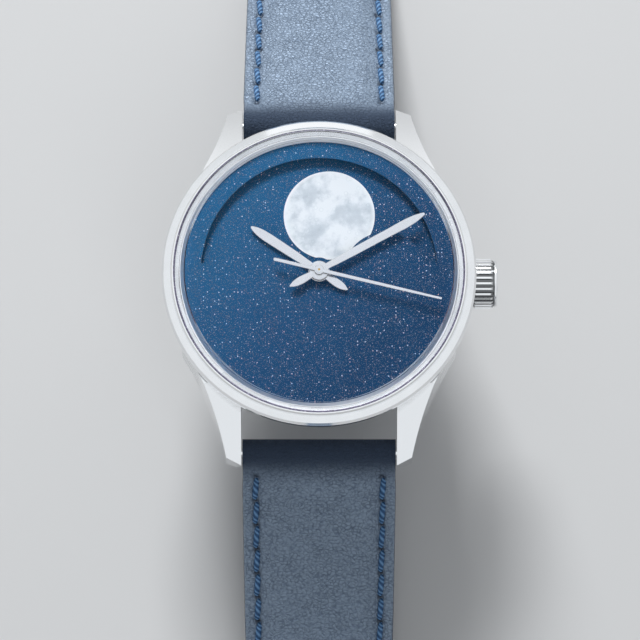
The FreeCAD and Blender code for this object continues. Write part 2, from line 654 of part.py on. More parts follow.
def make_barrel_drum():
    """Closed drum with its teeth round the middle."""
    outer, wall = 4.62, 0.2
    low, high = 3.4, 4.75
    body = disc(outer, low, high, BARREL_AT).fuse(toothed(BARREL_GEAR, 4.0, 4.4, BARREL_AT, 0))
    body = body.cut(disc(outer - wall, low + wall, high - wall, BARREL_AT))
    return body.cut(disc(BARREL_ARBOR_R + BORE_GAP, low - 1, high + 1, BARREL_AT)).removeSplitter()


def make_mainspring():
    """Wound strip inside the drum, clear of the arbor."""
    return spiral_strip(1.1, 4.3, 6, 0.12, 3.7, 4.45, BARREL_AT, 0)


def make_ratchet_wheel():
    """Ratchet wheel and the barrel arbor above it."""
    x, y = BARREL_AT
    body = toothed(RATCHET_GEAR, WINDING_Z, WINDING_TOP_Z, BARREL_AT, 0)
    body = body.fuse(disc(BARREL_ARBOR_R, WINDING_TOP_Z, 5.15, BARREL_AT))
    body = body.fuse(disc(0.35, 5.15, 5.75, BARREL_AT))
    slot = block(x - 0.8, x + 0.8, y - 0.12, y + 0.12, WINDING_Z - 0.3, WINDING_Z + 0.15)
    return body.cut(slot).removeSplitter()


def make_crown_wheel():
    """Crown wheel: meshes with the ratchet wheel, turns on a post of its own."""
    phase = mesh_phase(RATCHET_GEAR, 0, BARREL_AT, CROWN_WHEEL_GEAR, CROWN_WHEEL_AT)
    body = toothed(CROWN_WHEEL_GEAR, WINDING_Z, WINDING_TOP_Z, CROWN_WHEEL_AT, phase)
    body = body.fuse(disc(0.69, WINDING_TOP_Z, CHAMBER_Z - 0.05, CROWN_WHEEL_AT))
    groove = ring(0.9, 1.3, WINDING_Z - 0.1, WINDING_Z + 0.08, CROWN_WHEEL_AT)
    return body.cut(groove).removeSplitter()


def make_click():
    """Pawl that lets the ratchet wheel turn one way."""
    heading = direction(CLICK_AT, BARREL_AT)
    beak = [(-0.75, -0.4), (0.2, -0.75), (1.55, -0.6), (1.1, -0.1), (0.5, 0.5), (-0.3, 0.75)]
    body = placed(plate(beak, WINDING_Z, WINDING_TOP_Z), heading, CLICK_AT)
    return body.fuse(disc(0.39, WINDING_Z, CHAMBER_Z - 0.05, CLICK_AT)).removeSplitter()


def make_click_spring():
    """Thin bent spring behind the click, with its foot."""
    low = WINDING_Z + 0.05
    body = ring(1.3, 1.42, low, WINDING_TOP_Z, CLICK_AT)
    keep = plate([CLICK_AT, polar(6, 330, CLICK_AT), polar(6, 30, CLICK_AT), polar(6, 75, CLICK_AT)],
                 2.0, 3.0)
    foot = disc(0.3, low, BARREL_BRIDGE_Z, polar(1.5, 70, CLICK_AT))
    return body.common(keep).fuse(foot).removeSplitter()


def make_crown():
    """Ribbed crown with a plain end cap."""
    rib_end = CROWN_OUT_X - 0.4
    outline = []
    step = 360 / CROWN_RIBS
    for rib in range(CROWN_RIBS):
        for share, radius in ((-0.32, 3.02), (-0.18, 3.28), (0.18, 3.28), (0.32, 3.02)):
            outline.append(polar(radius, (rib + share) * step))
    body = plate(outline, 0, rib_end - CROWN_IN_X - 0.1)
    body = body.common(lathe([(0, 0), (2.75, 0), (CROWN_R, 0.4), (CROWN_R, 2.35),
                              (2.95, rib_end - CROWN_IN_X), (0, rib_end - CROWN_IN_X)]))
    cap = lathe([(0, 2.7), (2.9, 2.7), (3.02, 2.95), (3.02, 3.12), (2.8, 3.3), (0, 3.3)])
    body = body.fuse(cap)
    body = body.cut(disc(1.72, -1, 1.9)).cut(disc(0.5, -1, 2.6))
    body.rotate(Vector(0, 0, 0), Vector(0, 1, 0), 90)
    body.translate(Vector(CROWN_IN_X, 0, STEM_Z))
    return body.removeSplitter()


def make_crown_tube():
    """Tube pressed into the case's side, which guides the stem inside the crown."""
    body = rod_x(1.65, 19.45, 21.3).fuse(rod_x(1.25, 17.3, 19.45))
    return body.cut(rod_x(STEM_R + 0.05, 15, 23))


def make_stem():
    """Stem with a square for the sliding pinion and a groove for the setting lever."""
    body = rod_x(STEM_R, 12.4, CROWN_IN_X + 2.6).fuse(rod_x(0.3, 6.6, 8.0))
    body = body.fuse(rod_x(0.42, 8.0, 12.4))
    pin_x = LEVER_PIN_AT[0]
    groove = rod_x(0.7, pin_x - 0.25, pin_x + 0.25).cut(rod_x(0.25, 13.0, 14.5))
    return body.cut(groove).removeSplitter()


def make_toothed_x(gear, x0, x1, bore):
    """A pinion that lies along X round the stem."""
    body = toothed(gear, 0, x1 - x0).cut(disc(bore, -1, 5))
    body.rotate(Vector(0, 0, 0), Vector(0, 1, 0), 90)
    body.translate(Vector(x0, 0, STEM_Z))
    return body


def make_setting_lever():
    """Lever on the dial side whose pin sits in the stem's groove."""
    low = PLATE_TOP_Z + 0.05
    (px, py), (qx, qy) = LEVER_AT, LEVER_PIN_AT
    body = plate([(px - 0.5, py - 0.5), (px + 0.5, py - 0.4), (px + 0.5, py + 0.6),
                  (qx + 0.25, qy + 0.25), (qx - 0.3, qy + 0.25), (px - 0.6, py + 0.6)], low, low + 0.35)
    body = body.fuse(disc(0.3, 5.9, low + 0.1, LEVER_AT))
    return body.fuse(disc(0.18, STEM_Z - 0.4, low + 0.1, LEVER_PIN_AT)).removeSplitter()


def hub_wheel(gear, low, high, at, phase, tube_out, tube_in, tube_low, tube_high):
    """A toothed wheel on a tube."""
    body = toothed(gear, low, high, at, phase).fuse(disc(tube_out, tube_low, tube_high, at))
    return body.cut(disc(tube_in, tube_low - 1, tube_high + 1, at)).removeSplitter()


def make_moon_plate():
    """Plate that carries the moon wheels on two posts."""
    body = ring(2.2, PLATE_R, MOON_PLATE_Z, MOON_PLATE_TOP_Z)
    body = body.cut(disc(0.3, MOON_PLATE_Z - 1, MOON_PLATE_TOP_Z + 1, MINUTE_WHEEL_AT))
    body = body.fuse(disc(POST_R, MOON_PLATE_TOP_Z, 8.95, MOON_WHEEL_1_AT))
    return body.fuse(disc(POST_R, MOON_PLATE_TOP_Z, 9.42, MOON_WHEEL_2_AT)).removeSplitter()


def make_moon_wheel(gear, gear_z, pinion, pinion_low, pinion_high, at, phase, tube_low):
    """A wheel and a pinion on one tube, which turns on a post."""
    body = toothed(gear, gear_z, gear_z + 0.2, at, phase)
    body = crossed(body, pitch_r(gear) * 0.85, 0.8, gear_z, gear_z + 0.2, at, phase, 5, 0.5)
    body = body.fuse(toothed(pinion, pinion_low, pinion_high, at, phase))
    body = body.fuse(disc(0.3, tube_low, pinion_low, at))
    return body.cut(disc(POST_R + BORE_GAP, tube_low - 1, pinion_high + 1, at)).removeSplitter()


def strap_place(along, side):
    """Middle line of a strap half: (y, z, heading) at a distance from its bar."""
    slope = math.radians(STRAP_SLOPE)
    if along <= STRAP_STRAIGHT:
        y, z, turn = along * math.cos(slope), -along * math.sin(slope), slope
    else:
        y0, z0 = STRAP_STRAIGHT * math.cos(slope), -STRAP_STRAIGHT * math.sin(slope)
        turn = max(0.0, slope - (along - STRAP_STRAIGHT) / STRAP_BEND_R)
        y = y0 + STRAP_BEND_R * (math.sin(slope) - math.sin(turn))
        z = z0 - STRAP_BEND_R * (math.cos(turn) - math.cos(slope))
        y += max(0.0, along - STRAP_STRAIGHT - STRAP_BEND_R * slope)
    return side * (BAR_Y + y), BAR_Z + z, turn


def strap_half_t(along):
    """Half of the strap's thickness at a distance from its bar."""
    share = min(1.0, along / (STRAP_STRAIGHT + 16.0))
    return (STRAP_FULL_T + (STRAP_END_T - STRAP_FULL_T) * share) / 2


def strap_line(side, lift, length, first):
    """A curve beside the strap's middle line; lift gives its height above the lining's face."""
    points = []
    marks = [first, 6.0, 12.0, 18.0, STRAP_STRAIGHT, 29.0, 34.0, 40.2, length]
    for along in marks:
        y, z, turn = strap_place(along, side)
        rise = lift(along)
        points.append(Vector(0, y + side * rise * math.sin(turn), z + rise * math.cos(turn)))
    curve = Part.BSplineCurve()
    curve.interpolate(points[:-1])
    return [curve.toShape(), Part.makeLine(points[-2], points[-1])], points


def strap_layer(side, length, low_lift, high_lift, plan):
    """A strap layer between two lifts, cut to its plan shape."""
    low, low_points = strap_line(side, low_lift, length, 3.0)
    high, high_points = strap_line(side, high_lift, length, 3.0)
    start = Part.makeLine(low_points[0], high_points[0])
    end = Part.makeLine(low_points[-1], high_points[-1])
    wire = Part.Wire(Part.__sortEdges__(low + high + [start, end]))
    face = Part.Face(wire)
    face.translate(Vector(-STRAP_W, 0, 0))
    return face.extrude(Vector(2 * STRAP_W, 0, 0)).common(plan)


def strap_plan(side, length, point_tip):
    """Plan shape of a strap half: a long taper, with a pointed or a square end."""
    end_y = abs(strap_place(length, side)[0])
    lug_half = STRAP_W / 2 - 0.05
    end_half = STRAP_END_W / 2
    right = [(lug_half, 18.0), (lug_half, BAR_Y + 1.5), (end_half, BAR_Y + STRAP_TAPER)]
    if point_tip:
        right += [(end_half, end_y - 9.0), (end_half * 0.72, end_y - 3.2), (2.4, end_y)]
    else:
        right += [(end_half, end_y)]
    left = [(-x, y) for x, y in reversed(right)]
    return plate([(x, y * side) for x, y in right + left], -30, 12)


def roll(side, plan):
    """The round loop of leather over the spring bar, run into the strap's start."""
    y, z, turn = strap_place(3.0, side)
    half = strap_half_t(3.0)
    up = Vector(0, side * math.sin(turn), math.cos(turn))
    along = Vector(0, side * math.cos(turn), -math.sin(turn))
    middle = Vector(0, y, z)
    bar = Vector(0, side * BAR_Y, BAR_Z)
    top = [bar.add(Vector(up).multiply(STRAP_ROLL_R)), middle.add(Vector(up).multiply(half))]
    low = [bar.sub(Vector(up).multiply(STRAP_ROLL_R)), middle.sub(Vector(up).multiply(half))]
    back = bar.sub(Vector(along).multiply(STRAP_ROLL_R))
    wire = Part.Wire([arc_through(low[0], back, top[0]), Part.makeLine(top[0], top[1]),
                      Part.makeLine(top[1], low[1]), Part.makeLine(low[1], low[0])])
    face = Part.Face(wire)
    face.translate(Vector(-STRAP_W, 0, 0))
    body = face.extrude(Vector(2 * STRAP_W, 0, 0)).common(plan)
    return body.cut(rod_x(BAR_R + 0.05, -15, 15, side * BAR_Y, BAR_Z))


def make_strap(side, length, point_tip):
    """Outer leather and lining of one strap half."""
    plan = strap_plan(side, length, point_tip)
    leather = strap_layer(side, length, lambda s: -strap_half_t(s) + LINING_T, strap_half_t, plan)
    leather = leather.fuse(roll(side, plan)).removeSplitter()
    lining = strap_layer(side, length, lambda s: -strap_half_t(s),
                         lambda s: -strap_half_t(s) + LINING_T, plan)
    return leather, lining


def make_keeper(y_middle, floor_z):
    """A leather loop round the strap, tall enough for the other half."""
    half = STRAP_END_W / 2 + KEEPER_GAP
    height = STRAP_END_T + 3.1
    low = floor_z - 0.25
    outer = block(-half - KEEPER_T, half + KEEPER_T, y_middle - KEEPER_W / 2,
                  y_middle + KEEPER_W / 2, low - KEEPER_T, low + height + KEEPER_T)
    inner = block(-half, half, y_middle - 9, y_middle + 9, low, low + height)
    return outer.cut(inner)


def make_buckle_frame(bar_y, bar_z):
    """Bent frame with a fixed bar across the strap's end."""
    half = STRAP_END_W / 2 + 0.4
    outer = plate([(-half - 2.0, bar_y - 1.4), (half + 2.0, bar_y - 1.4),
                   (half + 2.0, bar_y + 8.4), (half - 0.5, bar_y + 10.9),
                   (-half + 0.5, bar_y + 10.9), (-half - 2.0, bar_y + 8.4)],
                  bar_z - 1.0, bar_z + 1.0)
    inner = plate([(-half, bar_y - 4), (half, bar_y - 4), (half, bar_y + 7.4),
                   (half - 1.2, bar_y + 8.6), (-half + 1.2, bar_y + 8.6), (-half, bar_y + 7.4)],
                  bar_z - 2, bar_z + 2)
    body = outer.cut(inner)
    rim = [e for e in body.Edges if e.BoundBox.ZLength < 0.001]
    body = body.makeChamfer(0.3, rim)
    body = body.fuse(rod_x(BUCKLE_BAR_R, -half - 0.5, half + 0.5, bar_y, bar_z))
    return body.removeSplitter()


def make_buckle_tongue(bar_y, bar_z):
    """Tongue that turns on the bar and rests on the frame's far side."""
    eye = rod_x(EYE_R, -1.2, 1.2, bar_y, bar_z)
    arm = plate([(-1.0, bar_y), (1.0, bar_y), (0.8, bar_y + 9.6), (0.4, bar_y + 10.4),
                 (-0.4, bar_y + 10.4), (-0.8, bar_y + 9.6)], bar_z + 0.35, bar_z + 1.25)
    lift = block(-1.2, 1.2, bar_y + 7.6, bar_y + 11, bar_z, bar_z + 1.06)
    body = eye.fuse(arm).cut(lift)
    body = body.fuse(plate([(-0.9, bar_y + 6.8), (0.9, bar_y + 6.8), (0.8, bar_y + 9.9),
                            (-0.8, bar_y + 9.9)], bar_z + 1.06, bar_z + 1.6))
    return body.cut(rod_x(BUCKLE_BAR_R + 0.04, -2, 2, bar_y, bar_z)).removeSplitter()


def make_spring_bar(side):
    """Spring bar tube with its fixed end; the other end holds the plunger."""
    y = BAR_Y * side
    half = LUG_GAP_HALF - 0.2
    body = rod_x(BAR_R, -half, half, y, BAR_Z).fuse(rod_x(BAR_TIP_R, -BAR_TIP_X, -9.9, y, BAR_Z))
    return body.cut(rod_x(BAR_TIP_R + 0.04, 6.5, 11, y, BAR_Z)).removeSplitter()


def make_plunger(side):
    """Sprung end of a spring bar."""
    return rod_x(BAR_TIP_R, 8.2, BAR_TIP_X, BAR_Y * side, BAR_Z)


# Case
save("case_middle", make_case_middle())
save("crown_tube", make_crown_tube())
save("bezel", make_bezel())
save("crystal", make_crystal())
save("crystal_gasket", ring(CRYSTAL_R + 0.02, 18.98, CRYSTAL_LOW_Z, 11.72))
save("flange_ring", lathe([(VISIBLE_DIAL_R, DIAL_TOP_Z), (18.15, DIAL_TOP_Z), (18.15, 11.25),
                           (18.05, 11.25)]))
save("dial_plate", make_dial_layer(DIAL_SEAT_Z, DIAL_Z, 0.1))
save("dial", make_dial_layer(DIAL_Z, DIAL_TOP_Z, 0.0))
save("case_back", make_case_back())
save("case_back_crystal", disc(14.58, 0.0, 1.28))
save("case_back_gasket", ring(CAVITY_R + 0.02, 17.48, 0.9, 1.28))
save("movement_ring", make_movement_ring())
save("spring_bars", group([make_spring_bar(side) for side in (1, -1)]))
save("spring_bar_plunger_12", make_plunger(1))
save("spring_bar_plunger_6", make_plunger(-1))

# Hands, motion work and moon train
hour_phase = 0.0
cannon_phase = 0.0
minute_phase = mesh_phase(CANNON_GEAR, cannon_phase, (0, 0), MINUTE_GEAR, MINUTE_WHEEL_AT)
minute_pinion_phase = mesh_phase(HOUR_GEAR, hour_phase, (0, 0), MINUTE_PINION, MINUTE_WHEEL_AT)
driving_phase = mesh_phase(MINUTE_GEAR, minute_phase, MINUTE_WHEEL_AT, CANNON_GEAR, SECOND_AT)
moon_1_phase = mesh_phase(MOON_DRIVE_PINION, minute_phase, MINUTE_WHEEL_AT, MOON_GEAR_1,
                          MOON_WHEEL_1_AT)
moon_2_phase = mesh_phase(MOON_PINION_1, moon_1_phase, MOON_WHEEL_1_AT, MOON_GEAR_2, MOON_WHEEL_2_AT)
disc_phase = mesh_phase(MOON_PINION_2, moon_2_phase, MOON_WHEEL_2_AT, MOON_DISC_GEAR, (0, 0))
save("seconds_hand", make_seconds_hand())
save("minute_hand", make_minute_hand())
save("hour_hand", make_hour_hand())
save("cannon_pinion", hub_wheel(CANNON_GEAR, 6.75, 7.0, (0, 0), cannon_phase, 0.45, 0.19, 6.7,
                                MINUTE_HAND_Z + HAND_T))
save("hour_wheel", hub_wheel(HOUR_GEAR, 7.08, 7.3, (0, 0), hour_phase, 0.8, 0.48, 7.05,
                             HOUR_HAND_Z + HAND_T))
save("minute_wheel", toothed(MINUTE_GEAR, 6.75, 7.0, MINUTE_WHEEL_AT, minute_phase).fuse(
    toothed(MINUTE_PINION, 7.0, 7.35, MINUTE_WHEEL_AT, minute_pinion_phase)).fuse(
    toothed(MOON_DRIVE_PINION, 8.15, 8.45, MINUTE_WHEEL_AT, minute_phase)).fuse(
    disc(0.22, 5.9, 8.45, MINUTE_WHEEL_AT)).removeSplitter())
save("driving_pinion", toothed(CANNON_GEAR, 6.75, 7.0, SECOND_AT, driving_phase).cut(
    disc(0.33, 6, 8, SECOND_AT)))
save("moon_plate", make_moon_plate())
save("moon_wheel_first", make_moon_wheel(MOON_GEAR_1, 8.2, MOON_PINION_1, 8.4, 8.9, MOON_WHEEL_1_AT,
                                         moon_1_phase, 8.05))
save("moon_wheel_second", make_moon_wheel(MOON_GEAR_2, 8.65, MOON_PINION_2, 8.85, 9.4, MOON_WHEEL_2_AT,
                                          moon_2_phase, 8.5))
save("moon_disc", ring(0.85, MOON_DISC_R, MOON_DISC_Z, MOON_DISC_Z + MOON_DISC_T))
save("moon_disc_wheel", toothed(MOON_DISC_GEAR, 9.05, MOON_DISC_Z, (0, 0), disc_phase).cut(
    disc(0.85, 9, 10)))
moon_low = MOON_DISC_Z + MOON_DISC_T
save("moons", group([disc(MOON_R, moon_low, moon_low + 0.06, polar(MOON_ORBIT_R, MOON_ANGLE + turn))
                     for turn in (0, 180)]))

# Going train and escapement
second_wheel, second_phase = make_second_wheel()
third_wheel, third_phase = make_third_wheel(second_phase)
seconds_wheel, centre_phase = make_seconds_wheel(third_phase)
save("second_wheel", second_wheel)
save("third_wheel", third_wheel)
save("seconds_wheel", seconds_wheel)
save("escape_wheel", make_escape_wheel(centre_phase))
save("pallet_fork", make_pallet_fork())
save("balance_wheel", make_balance())
save("hairspring", make_hairspring())
save("barrel_drum", make_barrel_drum())
save("mainspring", make_mainspring())

# Plates and bridges
save("mainplate", make_mainplate())
save("barrel_bridge", make_barrel_bridge())
save("train_bridge", make_train_bridge())
save("balance_cock", make_balance_cock())
save("jewels", make_jewels())
save("movement_screws", group([slotted_screw(*place) for place in SCREW_PLACES]))

# Winding and setting
save("ratchet_wheel", make_ratchet_wheel())
save("crown_wheel", make_crown_wheel())
save("click", make_click())
save("click_spring", make_click_spring())
save("crown", make_crown())
save("winding_stem", make_stem())
save("winding_pinion", make_toothed_x(WINDING_PINION, 10.6, 12.1, 0.45))
save("sliding_pinion", make_toothed_x(SLIDING_PINION, 9.0, 10.3, 0.45))
save("setting_lever", make_setting_lever())

# Strap and buckle
leather_12, lining_12 = make_strap(1, STRAP_SHORT, False)
leather_6, lining_6 = make_strap(-1, STRAP_LONG, True)
foot_z = strap_place(60.0, 1)[1] - STRAP_END_T / 2
bar_y, bar_z, flat = strap_place(STRAP_SHORT + 1.2, 1)
print("foot level", round(foot_z, 3), "buckle bar", round(bar_y, 3), round(bar_z, 3))
eye_loop = rod_x(EYE_R, -STRAP_END_W / 2, STRAP_END_W / 2, bar_y, bar_z)
neck = block(-STRAP_END_W / 2, STRAP_END_W / 2, bar_y - 1.3, bar_y, bar_z - 0.4, bar_z + EYE_R)
bar_hole = rod_x(BUCKLE_BAR_R + 0.05, -15, 15, bar_y, bar_z)
tongue_slot = block(-1.5, 1.5, bar_y - TONGUE_SLOT, bar_y + 3, bar_z - 3, bar_z + 3)
leather_12 = leather_12.fuse([eye_loop, neck]).cut(bar_hole).cut(tongue_slot).removeSplitter()
lining_12 = lining_12.cut(tongue_slot)
for k in range(HOLE_COUNT):
    hole_y = -(abs(strap_place(STRAP_LONG, -1)[0]) - 24.0 - k * HOLE_PITCH)
    hole = disc(HOLE_R, -30, 0, (0, hole_y))
    leather_6 = leather_6.cut(hole)
    lining_6 = lining_6.cut(hole)
save("strap_12_leather", leather_12)
save("strap_12_lining", lining_12)
save("strap_6_leather", leather_6)
save("strap_6_lining", lining_6)
save("fixed_keeper", make_keeper(bar_y - 8.0, foot_z))
save("loose_keeper", make_keeper(bar_y - 22.0, foot_z))
save("buckle_frame", make_buckle_frame(bar_y, bar_z))
save("buckle_tongue", make_buckle_tongue(bar_y, bar_z))
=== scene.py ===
# %% [markdown]
# A moon phase wristwatch, dressed for the camera. The metal, glass and movement come from the
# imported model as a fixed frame, so their places and sizes are already right and only their
# surfaces are made here. The leather strap is soft, so it is modelled in this file. Everything is
# in metres, with 12 o'clock along +Y, the crown along +X and the dial facing +Z.

import math

import bmesh
import bpy
from mathutils import Matrix, Vector


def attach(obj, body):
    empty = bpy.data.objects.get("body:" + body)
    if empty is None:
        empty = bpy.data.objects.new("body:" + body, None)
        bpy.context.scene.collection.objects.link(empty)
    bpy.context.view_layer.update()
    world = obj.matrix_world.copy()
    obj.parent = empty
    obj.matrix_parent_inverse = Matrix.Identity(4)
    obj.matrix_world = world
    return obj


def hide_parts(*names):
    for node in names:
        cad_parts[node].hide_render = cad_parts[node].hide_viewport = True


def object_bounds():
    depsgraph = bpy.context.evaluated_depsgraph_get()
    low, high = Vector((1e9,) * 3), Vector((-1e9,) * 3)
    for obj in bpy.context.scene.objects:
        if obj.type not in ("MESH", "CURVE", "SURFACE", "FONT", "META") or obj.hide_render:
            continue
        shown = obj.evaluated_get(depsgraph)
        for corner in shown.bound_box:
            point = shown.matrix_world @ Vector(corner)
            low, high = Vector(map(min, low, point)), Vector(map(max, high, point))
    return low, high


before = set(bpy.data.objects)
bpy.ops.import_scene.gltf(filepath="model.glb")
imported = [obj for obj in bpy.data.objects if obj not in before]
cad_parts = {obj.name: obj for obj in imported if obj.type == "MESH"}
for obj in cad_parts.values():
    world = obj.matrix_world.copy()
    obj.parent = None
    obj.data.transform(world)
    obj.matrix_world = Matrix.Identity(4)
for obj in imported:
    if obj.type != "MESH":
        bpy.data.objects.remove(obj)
bpy.context.scene.view_settings.view_transform = "Standard"
cad_low, cad_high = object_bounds()
MM = 0.001
print("frame box in mm", [round(v / MM, 1) for v in cad_low], [round(v / MM, 1) for v in cad_high])

# %% [markdown]
# The photograph looks down on the dial from the 6 o'clock side, from far away with a long lens,
# so the round bezel shows as a slightly squashed circle. Tilt, distance and lens are set once,
# and the camera aims at a point just below the dial's centre.

# %% Camera
TILT = math.radians(14.0)
DISTANCE = 740 * MM
FRAME_PX = 640
LENS_PX = 5617
aim = Vector((0.12, -3.88, 0.4)) * MM
back = Vector((0, -math.sin(TILT), math.cos(TILT)))
camera_data = bpy.data.cameras.new("camera")
camera_data.sensor_width = 36
camera_data.lens = camera_data.sensor_width * LENS_PX / FRAME_PX
camera_data.clip_start = 0.01
camera_data.clip_end = 10
camera = bpy.data.objects.new("camera", camera_data)
camera.location = aim + back * DISTANCE
camera.rotation_mode = "QUATERNION"
camera.rotation_quaternion = (-back).to_track_quat("-Z", "Y")
bpy.context.scene.collection.objects.link(camera)
bpy.context.scene.camera = camera
print("lens", round(camera_data.lens, 1), "mm")

# %% [markdown]
# A watch is mostly mirror, so what stands around it matters more than its own colour. A pale
# floor, a white surround and wide lamps give broad white reflections. The camera sees the surround
# at full white, and mirrors and glass see it almost as bright, while it lights matt surfaces far
# less, which leaves room for the lamps. Towards the horizon the mirrored surround fades to a dark
# grey, so steep edges show as lines. A key lamp stands behind 12 o'clock and a fill lamp in front.

# %% Shader helpers
def material(name):
    """A new material with its principled shader and its output."""
    made = bpy.data.materials.new(name)
    made.use_nodes = True
    tree = made.node_tree
    return made, tree, tree.nodes["Principled BSDF"]


def add(tree, kind, **values):
    """One node; each value is a property or, failing that, an input's default."""
    node = tree.nodes.new(kind)
    for key, value in values.items():
        if hasattr(node, key):
            setattr(node, key, value)
        else:
            node.inputs[key.replace("_", " ")].default_value = value
    return node


def join(tree, start, end):
    """A link between two sockets."""
    tree.links.new(start, end)


def calc(tree, operation, *values):
    """The result of a math node; each value is a socket or a number."""
    node = add(tree, "ShaderNodeMath", operation=operation)
    for socket, value in zip(node.inputs, values):
        if hasattr(value, "is_output"):
            join(tree, value, socket)
        else:
            socket.default_value = value
    return node.outputs[0]


def ramp(tree, source, stops):
    """A colour ramp fed by a value; stops are (place, colour)."""
    node = tree.nodes.new("ShaderNodeValToRGB")
    while len(node.color_ramp.elements) < len(stops):
        node.color_ramp.elements.new(0.5)
    for element, (place, colour) in zip(node.color_ramp.elements, stops):
        element.position = place
        element.color = colour if len(colour) == 4 else (*colour, 1)
    join(tree, source, node.inputs["Fac"])
    return node


def place_of(tree, scale=(1, 1, 1)):
    """Object coordinates through a mapping that can stretch a pattern."""
    coordinates = tree.nodes.new("ShaderNodeTexCoord")
    mapping = tree.nodes.new("ShaderNodeMapping")
    mapping.inputs["Scale"].default_value = scale
    join(tree, coordinates.outputs["Object"], mapping.inputs["Vector"])
    return mapping.outputs["Vector"]


def mix_colour(tree, fac, first, second):
    """A colour mix of two sockets or colours."""
    node = tree.nodes.new("ShaderNodeMix")
    node.data_type = "RGBA"
    join(tree, fac, node.inputs["Factor"])
    for socket, value in ((node.inputs[6], first), (node.inputs[7], second)):
        if hasattr(value, "is_output"):
            join(tree, value, socket)
        else:
            socket.default_value = (*value, 1)
    return node.outputs[2]


# %% Floor
FLOOR_SIZE = 6.0
floor_z = cad_low.z
floor_mesh = bpy.data.meshes.new("floor")
shape = bmesh.new()
bmesh.ops.create_grid(shape, x_segments=1, y_segments=1, size=FLOOR_SIZE / 2)
bmesh.ops.translate(shape, verts=shape.verts, vec=(0, 0, floor_z))
shape.to_mesh(floor_mesh)
shape.free()
floor = bpy.data.objects.new("floor", floor_mesh)
bpy.context.scene.collection.objects.link(floor)
floor_paint, tree, shader = material("floor_paint")
shader.inputs["Base Color"].default_value = (0.7, 0.71, 0.72, 1)
shader.inputs["Roughness"].default_value = 0.9
shader.inputs["Specular IOR Level"].default_value = 0.1
floor.data.materials.append(floor_paint)
print("floor level in mm", round(floor_z / MM, 2))

# %% Surround
SKY_LIGHT = 0.24
HORIZON = 0.16
ZENITH = 0.9
HORIZON_TOP = 0.3
world = bpy.data.worlds.new("surround")
world.use_nodes = True
bpy.context.scene.world = world
tree = world.node_tree
surround = tree.nodes["Background"]
surround.inputs["Color"].default_value = (0.94, 0.97, 1.0, 1)
ray = tree.nodes.new("ShaderNodeLightPath")
direction = tree.nodes.new("ShaderNodeTexCoord")
upward = tree.nodes.new("ShaderNodeSeparateXYZ")
join(tree, direction.outputs["Generated"], upward.inputs["Vector"])
horizon = add(tree, "ShaderNodeMapRange", From_Min=0.0, From_Max=HORIZON_TOP,
              To_Min=HORIZON, To_Max=ZENITH)
join(tree, upward.outputs["Z"], horizon.inputs["Value"])
mirrored = calc(tree, "MAXIMUM", ray.outputs["Is Glossy Ray"], ray.outputs["Is Transmission Ray"])
in_plain_sight = calc(tree, "LESS_THAN", ray.outputs["Diffuse Depth"], 0.5)
level = tree.nodes.new("ShaderNodeMix")
level.inputs[2].default_value = SKY_LIGHT
join(tree, calc(tree, "MULTIPLY", mirrored, in_plain_sight), level.inputs[0])
join(tree, horizon.outputs["Result"], level.inputs[3])
strength = calc(tree, "MAXIMUM", level.outputs[0], ray.outputs["Is Camera Ray"])
join(tree, strength, surround.inputs["Strength"])
print("surround: matt", SKY_LIGHT, "horizon", HORIZON, "zenith", ZENITH)

# %% Lamps
def lamp(name, place, target, size, power, mirrored=True):
    """A square soft lamp that faces a point; only shadow rays bring its light through glass."""
    data = bpy.data.lights.new(name, "AREA")
    data.size = size
    data.energy = power
    made = bpy.data.objects.new(name, data)
    made.location = place
    made.rotation_mode = "QUATERNION"
    made.rotation_quaternion = (Vector(target) - Vector(place)).to_track_quat("-Z", "Y")
    made.visible_transmission = False
    made.visible_glossy = mirrored
    bpy.context.scene.collection.objects.link(made)
    return made


lamp("top_panel", (0.0, 0.25, 0.95), (0, 0, 0), 1.1, 0.4)
lamp("key_lamp", (-0.12, 0.77, 0.57), (0, 0, 0), 0.3, 9.0)
lamp("fill_lamp", (0.1, -0.55, 0.8), (0, 0, 0), 0.6, 1.3, mirrored=False)
lamp("back_lamp", (0.0, 1.1, 0.26), (0, 0, 0), 0.6, 0.35)
print("lamps", [light.name for light in bpy.data.lights])

# %% [markdown]
# Worn metal is never one even sheen: fingers leave faint smears, and polishing leaves hairlines.
# Both appear on many parts, so each is a node group, built once. A group gives out only a mask or
# a normal, and each material sets its own strength. Leather grain is pebbles cut by fine creases,
# and brushed metal is one noise stretched along the lines.

# %% Handled metal group
def group(name, inputs, outputs):
    """An empty node group with float inputs and named outputs."""
    made = bpy.data.node_groups.new(name, "ShaderNodeTree")
    for label, default in inputs:
        socket = made.interface.new_socket(label, in_out="INPUT", socket_type="NodeSocketFloat")
        socket.default_value = default
    for label, kind in outputs:
        made.interface.new_socket(label, in_out="OUTPUT", socket_type=kind)
    return made, made.nodes.new("NodeGroupInput"), made.nodes.new("NodeGroupOutput")


handled, enter, leave = group("handled_metal", [("Scale", 300), ("Bump", 0.02)],
                              [("Mask", "NodeSocketFloat"), ("Normal", "NodeSocketVector")])
where = place_of(handled)
smear = add(handled, "ShaderNodeTexNoise", Detail=5.0, Roughness=0.6)
join(handled, where, smear.inputs["Vector"])
join(handled, enter.outputs["Scale"], smear.inputs["Scale"])
hairline_place = place_of(handled, (1, 9, 3))
hairline = add(handled, "ShaderNodeTexNoise", Scale=2600.0, Detail=2.0)
join(handled, hairline_place, hairline.inputs["Vector"])
hairline_bump = add(handled, "ShaderNodeBump", Distance=0.00002)
join(handled, enter.outputs["Bump"], hairline_bump.inputs["Strength"])
join(handled, hairline.outputs["Fac"], hairline_bump.inputs["Height"])
join(handled, smear.outputs["Fac"], leave.inputs["Mask"])
join(handled, hairline_bump.outputs["Normal"], leave.inputs["Normal"])

